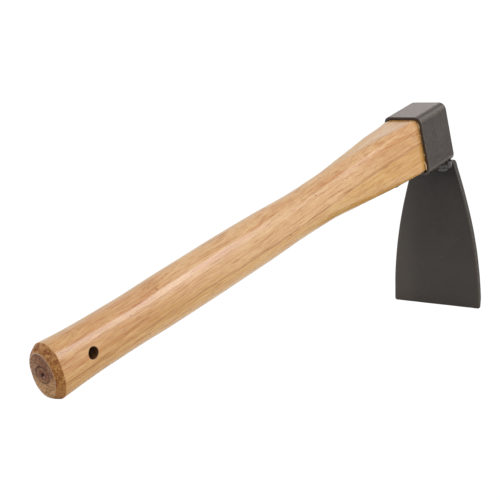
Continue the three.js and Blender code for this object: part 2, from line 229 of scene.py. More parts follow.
# ------------------------------------------------------------------ node helpers
class Nodes:
    def __init__(self, name):
        self.mat = bpy.data.materials.new(name)
        self.mat.use_nodes = True
        self.t = self.mat.node_tree
        self.t.nodes.clear()
        self.out = self.t.nodes.new("ShaderNodeOutputMaterial")
        self.bsdf = self.t.nodes.new("ShaderNodeBsdfPrincipled")
        self.t.links.new(self.bsdf.outputs[0], self.out.inputs[0])

    def new(self, kind, **props):
        n = self.t.nodes.new(kind)
        for k, v in props.items():
            setattr(n, k, v)
        return n

    def put(self, socket, value):
        if value is None:
            return
        if isinstance(value, bpy.types.NodeSocket):
            self.t.links.new(value, socket)
        else:
            socket.default_value = value

    def math(self, op, a, b=None, c=None, clamp=False):
        n = self.new("ShaderNodeMath", operation=op, use_clamp=clamp)
        self.put(n.inputs[0], a)
        self.put(n.inputs[1], b)
        self.put(n.inputs[2], c)
        return n.outputs[0]

    def add(self, a, b):
        return self.math("ADD", a, b)

    def sub(self, a, b):
        return self.math("SUBTRACT", a, b)

    def mul(self, a, b):
        return self.math("MULTIPLY", a, b)

    def mad(self, a, b, c):
        return self.math("MULTIPLY_ADD", a, b, c)

    def inv(self, a):
        return self.math("SUBTRACT", 1.0, a)

    def vec(self, x, y, z):
        n = self.new("ShaderNodeCombineXYZ")
        self.put(n.inputs[0], x)
        self.put(n.inputs[1], y)
        self.put(n.inputs[2], z)
        return n.outputs[0]

    def vmath(self, op, a, b=None, c=None):
        n = self.new("ShaderNodeVectorMath", operation=op)
        self.put(n.inputs[0], a)
        if b is not None:
            self.put(n.inputs[1], b)
        if c is not None:
            self.put(n.inputs[2], c)
        return n.outputs["Value"] if op in ("DOT_PRODUCT", "LENGTH", "DISTANCE") else n.outputs[0]

    def noise(self, vec, scale=1.0, detail=2.0, rough=0.5, distortion=0.0, lac=2.0):
        n = self.new("ShaderNodeTexNoise", noise_dimensions="3D")
        self.put(n.inputs["Vector"], vec)
        n.inputs["Scale"].default_value = scale
        n.inputs["Detail"].default_value = detail
        n.inputs["Roughness"].default_value = rough
        n.inputs["Lacunarity"].default_value = lac
        n.inputs["Distortion"].default_value = distortion
        return n.outputs["Fac"]

    def voronoi(self, vec, scale=1.0, feature="F1", randomness=1.0):
        n = self.new("ShaderNodeTexVoronoi", feature=feature)
        self.put(n.inputs["Vector"], vec)
        n.inputs["Scale"].default_value = scale
        n.inputs["Randomness"].default_value = randomness
        return n

    def span(self, v, a, b, lo=0.0, hi=1.0, smooth=True):
        n = self.new("ShaderNodeMapRange", interpolation_type="SMOOTHSTEP" if smooth else "LINEAR", clamp=True)
        self.put(n.inputs["Value"], v)
        n.inputs["From Min"].default_value = a
        n.inputs["From Max"].default_value = b
        n.inputs["To Min"].default_value = lo
        n.inputs["To Max"].default_value = hi
        return n.outputs["Result"]

    def bell(self, v, centre, width):
        """1 at centre, falling to 0 over about two widths."""
        d = self.math("DIVIDE", self.sub(v, centre), width)
        return self.math("EXPONENT", self.mul(self.mul(d, d), -1.0))

    def curve(self, v, points):
        """v through a smooth curve given as [(in, out)], both already 0 to 1."""
        n = self.new("ShaderNodeFloatCurve")
        cm = n.mapping
        c = cm.curves[0]
        c.points[0].location = points[0]
        c.points[1].location = points[-1]
        for p in points[1:-1]:
            c.points.new(*p)
        cm.update()
        self.put(n.inputs["Value"], v)
        return n.outputs[0]

    def mix(self, fac, a, b, blend="MIX"):
        n = self.new("ShaderNodeMix", data_type="RGBA", blend_type=blend, clamp_factor=True)
        self.put(n.inputs[0], fac)
        self.put(n.inputs[6], a)
        self.put(n.inputs[7], b)
        return n.outputs[2]

    def ramp(self, fac, stops):
        n = self.new("ShaderNodeValToRGB")
        el = n.color_ramp.elements
        while len(el) > 2:
            el.remove(el[-1])
        el[0].position, el[0].color = stops[0]
        el[1].position, el[1].color = stops[-1]
        for pos, col in stops[1:-1]:
            e = el.new(pos)
            e.color = col
        self.put(n.inputs[0], fac)
        return n.outputs[0]

    def bump(self, height, strength, distance, normal=None):
        n = self.new("ShaderNodeBump")
        n.inputs["Strength"].default_value = strength
        n.inputs["Distance"].default_value = distance
        self.put(n.inputs["Height"], height)
        if normal is not None:
            self.put(n.inputs["Normal"], normal)
        return n.outputs[0]

    def attr(self, name):
        return self.new("ShaderNodeAttribute", attribute_name=name).outputs["Fac"]

    def head(self):
        """Head-frame x, y, z in millimetres at the shaded point."""
        p = self.new("ShaderNodeTexCoord").outputs["Object"]
        d = self.vmath("SUBTRACT", p, tuple(T))
        return tuple(self.mul(self.vmath("DOT_PRODUCT", d, tuple(e)), 1000.0) for e in (EX, EY, EZ))


def srgb(r, g, b):
    f = lambda v: v / 12.92 if v <= 0.04045 else ((v + 0.055) / 1.055) ** 2.4
    return (f(r / 255), f(g / 255), f(b / 255), 1.0)


# ------------------------------------------------------------------ wood
def streak_line(n, xs, pairs):
    """z of a grain line along the handle. pairs are (u, z)."""
    pts = sorted((u / 450.0, z / 50.0 + 0.5) for u, z in pairs)
    pts = [(0.0, pts[0][1])] + pts + [(1.0, pts[-1][1])]
    u = n.math("DIVIDE", n.mul(xs, -1.0), 450.0, clamp=True)
    return n.mul(n.sub(n.curve(u, pts), 0.5), 50.0)


def wood_material(name, raw=False, end_grain=False):
    n = Nodes(name)
    x, y, z = n.head()
    # the grain climbs a little towards the head, and wanders
    wander = n.noise(n.vec(n.mul(x, 1 / 95), n.mul(y, 1 / 40), n.mul(z, 1 / 45)), 1.0, 1.0, 0.5)
    q = n.add(n.mad(x, -0.03, z), n.mul(n.sub(wander, 0.5), 9.0))
    # which side: the far side gets its own lines
    side = n.span(y, -0.8, 0.8)
    zf = n.new("ShaderNodeMix", data_type="FLOAT")
    n.put(zf.inputs[0], side)
    n.put(zf.inputs[2], z)
    n.put(zf.inputs[3], n.mad(z, -1.0, 2.0))
    zz = zf.outputs[0]

    bands = n.noise(n.vec(n.mul(x, 1 / 110), n.mul(y, 1 / 8), n.mul(q, 1 / 4.0)), 1.0, 3.0, 0.55)
    medium = n.noise(n.vec(n.mul(x, 1 / 42), n.mul(y, 1 / 2.4), n.mul(q, 1 / 2.0)), 1.0, 2.0, 0.55)
    fine = n.noise(n.vec(n.mul(x, 1 / 19), n.mul(y, 1 / 1.0), n.mul(q, 1 / 0.85)), 1.0, 3.0, 0.65)
    fibre = n.noise(n.vec(n.mul(x, 1 / 9), n.mul(y, 1 / 0.42), n.mul(q, 1 / 0.38)), 1.0, 2.0, 0.6)
    patch = n.noise(n.vec(n.mul(x, 1 / 62), n.mul(y, 1 / 16), n.mul(z, 1 / 11)), 1.0, 2.0, 0.5)
    patch2 = n.noise(n.vec(n.mad(x, 1 / 48, 7.3), n.mul(y, 1 / 12), n.mul(q, 1 / 9)), 1.0, 2.0, 0.5)

    col = n.ramp(bands, [(0.30, srgb(203, 146, 82)), (0.43, srgb(212, 160, 99)), (0.56, srgb(219, 171, 113)), (0.78, srgb(226, 183, 128))])
    col = n.mix(n.span(patch, 0.44, 0.66, 0.0, 0.45), col, srgb(218, 166, 116))  # pinkish patches
    col = n.mix(n.span(patch2, 0.5, 0.72, 0.0, 0.45), col, srgb(202, 146, 80))

    # two strong grain lines along the flank
    jig = n.mul(n.sub(n.noise(n.vec(n.mul(x, 1 / 30), n.mul(y, 1 / 20), n.mul(z, 1 / 20)), 1.0, 2.0, 0.6), 0.5), 2.6)
    upper = streak_line(n, x, [(30, 14.8), (60, 15.2), (90, 14.6), (150, 15.4), (200, 16.2), (240, 12.9), (290, 11.5), (350, 13.5), (420, 13.0)])
    lower = streak_line(n, x, [(30, 3.2), (70, 2.6), (105, 1.0), (140, -1.2), (180, -3.8), (215, -4.9), (320, -4.8), (370, -5.6), (420, -7.5)])
    broken = n.span(n.noise(n.vec(n.mul(x, 1 / 40), n.mul(y, 1 / 30), n.mul(q, 1 / 3.0)), 1.0, 2.0, 0.6), 0.33, 0.6)
    zj = n.add(zz, jig)
    s1 = n.mul(n.bell(zj, upper, 1.7), broken)
    s2 = n.mul(n.bell(zj, lower, 0.85), n.span(broken, 0.0, 1.0, 0.45, 1.0))
    # the middle of the handle is paler than its two ends
    pale = n.mul(n.span(x, -345.0, -285.0), n.span(x, -40.0, -110.0))
    col = n.mix(n.mul(pale, 0.5), col, n.mix(n.span(n.sub(zj, lower), -4.0, 8.0), srgb(229, 188, 124), srgb(228, 188, 140)))
    below = n.span(n.sub(zj, lower), 0.0, -2.4)  # under the lower line the wood is yellower
    col = n.mix(n.mul(below, 0.55), col, srgb(214, 165, 84))
    ochre = n.mul(n.span(x, -230.0, -300.0), n.span(n.sub(zj, lower), 9.0, 0.0))
    col = n.mix(n.mul(ochre, n.span(patch2, 0.36, 0.60, 0.12, 0.5)), col, srgb(214, 172, 98))
    col = n.mix(n.mul(s1, 0.62), col, srgb(196, 128, 66))
    col = n.mix(n.mul(s2, 0.74), col, srgb(172, 110, 50))

    # fibres, from a few millimetres wide down to hairs
    col = n.mix(n.span(medium, 0.34, 0.50, 0.34, 0.0), col, n.mix(1.0, col, srgb(234, 206, 170), "MULTIPLY"))
    col = n.mix(n.span(medium, 0.54, 0.68, 0.0, 0.38), col, srgb(229, 188, 134))
    col = n.mix(n.span(fine, 0.32, 0.50, 0.8, 0.0), col, n.mix(1.0, col, srgb(216, 180, 140), "MULTIPLY"))
    col = n.mix(n.span(fine, 0.55, 0.72, 0.0, 0.5), col, srgb(232, 194, 142))
    col = n.mix(n.span(fibre, 0.30, 0.5, 0.45, 0.0), col, n.mix(1.0, col, srgb(212, 180, 146), "MULTIPLY"))
    # crisp dark grain lines, in families
    hair = n.noise(n.vec(n.mul(x, 1 / 55), n.mul(y, 1 / 1.5), n.mul(q, 1 / 1.15)), 1.0, 2.0, 0.5)
    family = n.span(n.noise(n.vec(n.mul(x, 1 / 80), n.mul(y, 1 / 10), n.mul(q, 1 / 6)), 1.0, 2.0, 0.5), 0.42, 0.58)
    col = n.mix(n.mul(n.bell(hair, 0.44, 0.022), n.mad(family, 0.5, 0.08)), col, srgb(166, 104, 50))
    # pores: short thin dashes
    pores = n.voronoi(n.vec(n.mul(x, 1 / 5.0), n.mul(y, 1 / 0.95), n.mul(q, 1 / 0.95)), 1.0)
    pore = n.mul(n.span(pores.outputs["Distance"], 0.12, 0.28, 1.0, 0.0), n.span(pores.outputs["Color"], 0.47, 0.56))
    col = n.mix(n.mul(pore, 0.42), col, srgb(150, 98, 50))
    # a few dark flecks
    fl = n.voronoi(n.vec(n.mul(x, 1 / 19), n.mul(y, 1 / 8.5), n.mul(z, 1 / 8.5)), 1.0)
    fleck = n.mul(n.span(fl.outputs["Distance"], 0.035, 0.075, 1.0, 0.0), n.span(fl.outputs["Color"], 0.50, 0.56))
    col = n.mix(n.mul(fleck, 0.75), col, srgb(120, 72, 40))

    if not raw:
        # butt: end grain on the chamfer and the face takes the finish darker
        rough_u = n.mul(n.sub(n.noise(n.vec(n.mul(x, 1 / 6), n.mul(y, 1 / 2.6), n.mul(z, 1 / 2.6)), 1.0, 2.0, 0.6), 0.5), 1.0)
        cut = n.span(n.add(x, rough_u), -CHAMFER_FROM + 0.35, -CHAMFER_FROM - 0.35)
        blot = n.noise(n.vec(n.mul(x, 1 / 3.0), n.mul(y, 1 / 3.2), n.mul(z, 1 / 3.2)), 1.0, 4.0, 0.65)
        grain = n.noise(n.vec(n.mul(x, 1 / 7.0), n.mul(y, 1 / 0.55), n.mul(z, 1 / 0.55)), 1.0, 2.0, 0.6)
        chamfer = n.ramp(blot, [(0.30, srgb(124, 70, 24)), (0.45, srgb(156, 102, 44)), (0.60, srgb(178, 126, 62)), (0.76, srgb(192, 146, 88))])
        chamfer = n.mix(n.span(grain, 0.35, 0.60, 0.6, 0.0), chamfer, srgb(112, 58, 22))
        grit = n.noise(n.vec(n.mul(x, 1 / 2.0), n.mul(y, 1 / 1.5), n.mul(z, 1 / 1.5)), 1.0, 2.0, 0.7)
        dust = n.noise(n.vec(n.mul(x, 1 / 1.5), n.mul(y, 1 / 1.0), n.mul(z, 1 / 1.0)), 1.0, 2.0, 0.7)
        chamfer = n.mix(n.span(dust, 0.36, 0.52, 0.55, 0.0), chamfer, srgb(122, 68, 30))
        chamfer = n.mix(n.span(dust, 0.53, 0.68, 0.0, 0.5), chamfer, srgb(206, 158, 98))
        # painted reflection: the upper part of the chamfer lightened, as where it catches the surroundings at a grazing
        # angle
        chamfer = n.mix(n.mul(n.span(z, 4.0, 15.0, 0.0, 0.42), n.span(blot, 0.36, 0.64)), chamfer, srgb(200, 150, 106))
        chamfer = n.mix(n.mul(n.span(z, 0.0, 11.0, 0.0, 0.42), n.span(blot, 0.56, 0.36)), chamfer, srgb(124, 64, 34))
        chamfer = n.mix(n.span(z, -2.0, -14.0, 0.0, 0.30), chamfer, srgb(190, 140, 84))
        col = n.mix(cut, col, chamfer)
        # flat face
        r_e = n.vmath("LENGTH", n.vec(n.math("DIVIDE", y, 10.74), n.math("DIVIDE", n.add(z, 0.05), 15.45), 0.0))
        r_c = n.vmath("LENGTH", n.vec(y, z, 0.0))
        face = n.mul(cut, n.span(r_e, 1.0, 0.965))
        updown = n.span(n.add(z, n.mul(n.sub(blot, 0.5), 10.0)), -9.5, 1.0)
        rings_v = n.noise(n.vec(n.mul(x, 1 / 50), n.mul(y, 1 / 5.5), n.mul(z, 1 / 1.3)), 1.0, 3.0, 0.6, 0.6)
        fcol = n.mix(updown, srgb(204, 158, 106), srgb(130, 84, 56))
        fcol = n.mix(n.span(grit, 0.38, 0.50, 0.72, 0.0), fcol, srgb(88, 50, 32))
        fcol = n.mix(n.span(grit, 0.53, 0.66, 0.0, 0.6), fcol, srgb(192, 148, 110))
        fcol = n.mix(n.span(rings_v, 0.36, 0.58, 0.5, 0.0), fcol, srgb(104, 62, 38))
        fcol = n.mix(n.mul(n.span(y, 1.0, 9.0), n.span(grain, 0.44, 0.62, 0.0, 0.6)), fcol, srgb(206, 172, 140))
        # painted shade: the groove ring darkened
        ring = n.mul(n.bell(r_c, 5.9, 0.6), n.span(blot, 0.66, 0.42, 0.35, 1.0))
        inner = n.span(r_c, 5.9, 5.2)
        fcol = n.mix(n.mul(inner, 0.28), fcol, srgb(120, 88, 62))
        fcol = n.mix(n.mul(ring, 0.68), fcol, srgb(80, 50, 36))
        fcol = n.mix(n.bell(r_c, 2.6, 1.2), fcol, srgb(112, 62, 38))
        # painted shade: the centre pit darkened
        fcol = n.mix(n.span(r_c, 1.9, 1.2), fcol, srgb(58, 34, 24))
        # painted highlight: a small light spot beside the centre pit
        pit_painted_highlight = n.vmath("LENGTH", n.vec(n.add(y, 0.5), n.add(z, 1.5), 0.0))
        fcol = n.mix(n.span(pit_painted_highlight, 0.75, 0.45, 0.0, 0.5), fcol, srgb(226, 206, 190))
        col = n.mix(face, col, fcol)
        rim = n.mul(n.bell(r_e, 1.0, 0.028), n.span(x, -AXIS_END + 1.3, -AXIS_END + 0.3))
        rimn = n.span(n.noise(n.vec(n.mul(x, 0.2), n.mul(y, 0.35), n.mul(z, 0.35)), 1.0, 2.0, 0.6), 0.36, 0.58)
        col = n.mix(n.mul(n.mul(rim, rimn), 0.75), col, srgb(206, 182, 158))
        # inside the hanging hole: painted shade, lighter towards the lower wall as if lit there
        hr = n.vmath("LENGTH", n.vec(n.add(x, HOLE_U), n.sub(z, HOLE_Z), 0.0))
        hole_painted_shade = n.span(hr, HOLE_R + 0.42, HOLE_R + 0.12)
        col = n.mix(n.mul(hole_painted_shade, 0.9), col, n.mix(n.span(n.sub(z, HOLE_Z), -1.0, -4.0), srgb(50, 30, 18), srgb(96, 62, 36)))
        # at the far end, past the tube, the wood is bare
        far = n.span(x, 19.5, 21.5)
        fend = n.mix(n.span(rings_v, 0.35, 0.62), srgb(160, 118, 78), srgb(206, 168, 124))
        fend = n.mix(n.span(grain, 0.35, 0.6, 0.6, 0.0), fend, srgb(136, 94, 58))
        col = n.mix(far, col, fend)
        rough = n.add(n.mul(fine, 0.10), n.add(n.mul(n.math("MAXIMUM", cut, far), 0.16), 0.20))
        n.put(n.bsdf.inputs["Roughness"], rough)
        height = n.mul(medium, 0.6)
        height = n.add(height, n.mul(n.mul(n.math("MAXIMUM", cut, far), grain), 1.6))
        n.put(n.bsdf.inputs["Normal"], n.bump(height, 0.5, 0.00005))
        n.bsdf.inputs["Coat Weight"].default_value = 0.5
        n.bsdf.inputs["Specular IOR Level"].default_value = 0.5
        n.put(n.bsdf.inputs["Coat Weight"], n.mad(n.math("MAXIMUM", cut, far), -0.50, 0.53))
        n.bsdf.inputs["Coat Roughness"].default_value = 0.19
        n.put(n.bsdf.inputs["Specular IOR Level"], n.mad(n.math("MAXIMUM", cut, far), -0.28, 0.5))
    else:
        tint = srgb(232, 205, 160) if not end_grain else srgb(170, 124, 80)
        col = n.mix(0.62 if not end_grain else 0.5, col, tint)
        if end_grain:
            rings_v = n.noise(n.vec(n.mul(x, 1 / 9), n.mul(y, 1 / 0.7), n.mul(z, 1 / 3.5)), 1.0, 3.0, 0.6)
            col = n.mix(n.span(rings_v, 0.36, 0.6, 0.6, 0.0), col, srgb(112, 74, 44))
        n.bsdf.inputs["Roughness"].default_value = 0.72
        n.put(n.bsdf.inputs["Roughness"], n.add(n.mul(fine, 0.2), 0.6))
        n.put(n.bsdf.inputs["Normal"], n.bump(n.add(fibre, fine), 0.7, 0.0001))
    n.put(n.bsdf.inputs["Base Color"], col)
    n.bsdf.inputs["IOR"].default_value = 1.5
    return n.mat


# ------------------------------------------------------------------ steel
def steel_material(name, dark, light, wear_and_sheen_tone, rough, spec=0.5, scale=1.0, scratches=0.0, warm=0.3, lumps=0.0, mottled=1.0, plate=False, smudged=False):
    n = Nodes(name)
    x, y, z = n.head()
    P = n.vec(x, y, z)
    cloud = n.noise(P, 0.045 * scale, 4.0, 0.6, 0.4)
    mottle = n.noise(P, 0.32 * scale, 4.0, 0.65)
    speck = n.noise(P, 2.2 * scale, 3.0, 0.7)
    col = n.mix(n.span(cloud, 0.36, 0.64), dark, light)
    col = n.mix(n.span(mottle, 0.42, 0.66, 0.0, 0.42 * mottled), col, n.mix(0.35, light, wear_and_sheen_tone))
    col = n.mix(n.span(mottle, 0.30, 0.46, 0.5 * mottled, 0.0), col, dark)
    if plate:
        # painted shade: darker at the top, just under the tube by the weld; paler towards the cutting edge and towards
        # one side
        low = n.span(z, -32.0, -140.0, 0.0, 0.62, False)
        rim = n.span(y, 12.0, 42.0, 0.0, 0.66)
        drift = n.mul(n.noise(P, 0.03, 2.0, 0.5), 0.22)
        col = n.mix(n.add(n.add(low, rim), n.sub(drift, 0.11)), col, (0.062, 0.050, 0.041, 1))
        # painted shade: the top of the blade under the tube darkened nearly to black
        col = n.mix(n.span(z, -46.0, -28.0, 0.0, 0.45), col, (0.007, 0.0058, 0.005, 1))
        scuff = n.vmath("LENGTH", n.vec(n.math("DIVIDE", n.add(y, 17.0), 13.0), n.math("DIVIDE", n.add(z, 91.0), 6.0), 0.0))
        scuffs = n.noise(n.vec(n.mul(x, 0.4), n.mad(z, 0.35, n.mul(y, 0.5)), n.mad(y, -0.5, n.mul(z, 0.7))), 1.0, 3.0, 0.7)
        col = n.mix(n.mul(n.span(scuff, 1.0, 0.4), n.span(scuffs, 0.54, 0.68, 0.0, 0.5)), col, wear_and_sheen_tone)
        grime = n.voronoi(n.vec(n.mul(x, 0.2), n.mul(y, 0.19), n.mul(z, 0.17)), 1.0)
        dots = n.mul(n.span(grime.outputs["Distance"], 0.07, 0.12, 1.0, 0.0), n.span(grime.outputs["Color"], 0.52, 0.58))
        col = n.mix(n.mul(dots, 0.35), col, wear_and_sheen_tone)
    col = n.mix(n.span(speck, 0.56, 0.74, 0.0, warm), col, wear_and_sheen_tone)
    if smudged:
        stain = n.noise(n.vec(n.mul(x, 1 / 5.0), n.mul(y, 1 / 2.2), n.mul(z, 1 / 9)), 1.0, 3.0, 0.6)
        top = n.span(z, TUBE_Z + COLLAR_H / 2 - 1.5, TUBE_Z + COLLAR_H / 2 - 0.4)
        where = n.mul(n.span(n.vmath("LENGTH", n.vec(n.sub(x, 2.0), n.sub(y, 3.0), 0.0)), 13.0, 5.0), top)
        col = n.mix(n.mul(where, n.span(stain, 0.48, 0.58, 0.0, 0.32)), col, dark)
        col = n.mix(n.mul(n.mul(where, 0.25), n.span(stain, 0.44, 0.34)), col, wear_and_sheen_tone)
    # the attribute read here carries edge wear and, on the tube's rounded corners, a painted highlight; both mix
    # towards the lighter tone
    wear_and_sheen = n.attr("wear_and_sheen")
    edge = n.math("MULTIPLY", wear_and_sheen, n.span(n.noise(P, 0.55, 3.0, 0.65), 0.36, 0.58, 0.25, 1.0))
    col = n.mix(n.mul(edge, 0.85), col, wear_and_sheen_tone)
    if scratches:
        # short, faint marks in a few directions
        marks = None
        for k, (ax, ay_, az_) in enumerate(((0.05, 0.9, 0.16), (0.05, 0.2, 1.1), (0.05, 0.62, 0.62))):
            v = n.voronoi(n.vec(n.mul(x, ax), n.mad(y, ay_ * (1 if k != 2 else 1), n.mul(z, 0.5 * (k == 2))), n.mad(z, az_, n.mul(y, -0.5 * (k == 2)))), 0.30)
            m = n.mul(n.span(v.outputs["Distance"], 0.03, 0.09, 1.0, 0.0), n.span(v.outputs["Color"], 0.53, 0.6))
            marks = m if marks is None else n.math("MAXIMUM", marks, m)
        col = n.mix(n.mul(marks, scratches), col, wear_and_sheen_tone)
    n.put(n.bsdf.inputs["Base Color"], col)
    r = n.add(n.mul(mottle, 0.22), n.mad(edge, -0.06, rough - 0.11))
    n.put(n.bsdf.inputs["Roughness"], r)
    h = n.add(n.mul(mottle, 0.8 * mottled), n.add(n.mul(speck, 0.35), n.mul(cloud, 1.6)))
    if lumps:
        h = n.add(h, n.mul(n.noise(P, 1.1, 2.0, 0.5), lumps))
    n.put(n.bsdf.inputs["Normal"], n.bump(h, 0.55, 0.00012))
    n.bsdf.inputs["IOR"].default_value = 1.5
    n.bsdf.inputs["Specular IOR Level"].default_value = spec
    return n.mat


M_WOOD = wood_material("handle_wood_varnished")
M_RAW = wood_material("handle_wood_torn", raw=True)
M_WEDGE_WOOD = wood_material("wedge_wood_end", raw=True, end_grain=True)
M_TUBE = steel_material("tube_steel_scale", (0.028, 0.0176, 0.0138, 1), (0.041, 0.0285, 0.0225, 1), (0.15, 0.122, 0.098, 1), 0.38, 0.5, 1.0, 0.0, smudged=True)
M_BLADE = steel_material("blade_steel_scale", (0.0150, 0.0108, 0.0082, 1), (0.0200, 0.0150, 0.0118, 1), (0.12, 0.098, 0.08, 1), 0.44, 0.42, 0.8, 0.30, 0.08, 0.0, 0.35, True)
M_WELD = steel_material("weld_steel_bead", (0.028, 0.024, 0.021, 1), (0.050, 0.045, 0.041, 1), (0.24, 0.225, 0.21, 1), 0.27, 0.8, 1.0, 0.0, 0.1, 0.2)
M_WEDGE = steel_material("wedge_steel_bare", (0.05, 0.046, 0.042, 1), (0.085, 0.078, 0.072, 1), (0.26, 0.24, 0.22, 1), 0.38, 0.6, 1.6, 0.2)
M_SHIM = steel_material("shim_steel", (0.022, 0.018, 0.015, 1), (0.036, 0.030, 0.025, 1), (0.09, 0.07, 0.05, 1), 0.5, 0.4, 2.0, 0.0)

# ------------------------------------------------------------------ handle
K = 40  # steps in a quarter of the outline
RING = 4 * K


def outline_quarter(a, b, m):
    """Dense points of the section's first quarter, from (a, 0) to (0, b)."""
    f = np.linspace(0.0, math.pi / 2, 241)
    c, s = np.cos(f), np.sin(f)
    e = np.hypot(a * c, b * s)
    y = (1 - m) * a * a * c / e + m * (a - TENON_R + TENON_R * c)
    z = (1 - m) * b * b * s / e + m * (b - TENON_R + TENON_R * s)
    return np.concatenate([[a], y, [0.0]]), np.concatenate([[0.0], z, [b]])


def section_at(u):
    """Top, bottom, half width, how square, and the shift to one side."""
    u = min(float(u), CHAMFER_FROM)
    zt, zb, a = float(top_at(u)), float(bottom_at(u)), float(half_at(u))
    m = 0.82 * (1 - float(ease((u - 29.0) / 109.0))) + 0.13 * (1 - float(ease((u - 27.0) / 16.0))) + 0.10 * float(ease((u - 300.0) / 90.0))
    yc = 0.3 * (1 - float(ease((u - 20.0) / 60.0)))
    return a, (zt - zb) / 2, (zt + zb) / 2, m, yc


def handle_ring(u, scale=1.0, flat=True):
    a, b, zc, m, yc = section_at(u)
    y, z = outline_quarter(a, b, m)
    d = np.concatenate([[0.0], np.cumsum(np.hypot(np.diff(y), np.diff(z)))])
    t = np.linspace(0.0, d[-1], K + 1)
    yq, zq = np.interp(t, d, y), np.interp(t, d, z)
    Y = np.concatenate([yq[:-1], -yq[::-1][:-1], -yq[:-1], yq[::-1][:-1]])
    Z = np.concatenate([zq[:-1], zq[::-1][:-1], -zq[:-1], -zq[::-1][:-1]])
    Y, Z = Y * scale, Z * scale
    # a hand-finished surface is never quite true
    ang = np.arctan2(Z / b, Y / a)
    amp = 0.055 * float(ease((u - 24.0) / 20.0)) * float(ease((426.0 - u) / 12.0))
    k = 1 + amp * wave(u / 21.0, 1.6 * np.sin(ang), 1.3 * np.cos(ang)) / np.hypot(Y, Z).clip(1)
    Y, Z = Y * k + yc, Z * k + zc
    # at the tube's mouth the wood is crushed up against the rim
    press = float(ease((u - 18.9) / 0.5) * (1 - ease((u - 23.0) / 9.0)))
    Z = Z + 0.34 * press * ease((Z - 14.0) / 5.0)
    Y = Y + 0.42 * press * ease((Y - 11.0) / 4.0) * ease((Z - 4.0) / 10.0)
    Y = Y + 0.32 * press * ease((Y - 8.0) / 4.0)
    if flat and u < PLANED_TO:
        Z = np.maximum(Z, TENON_FLAT_Z)
    return np.stack([np.full(RING, -float(u)), Y, Z], 1)


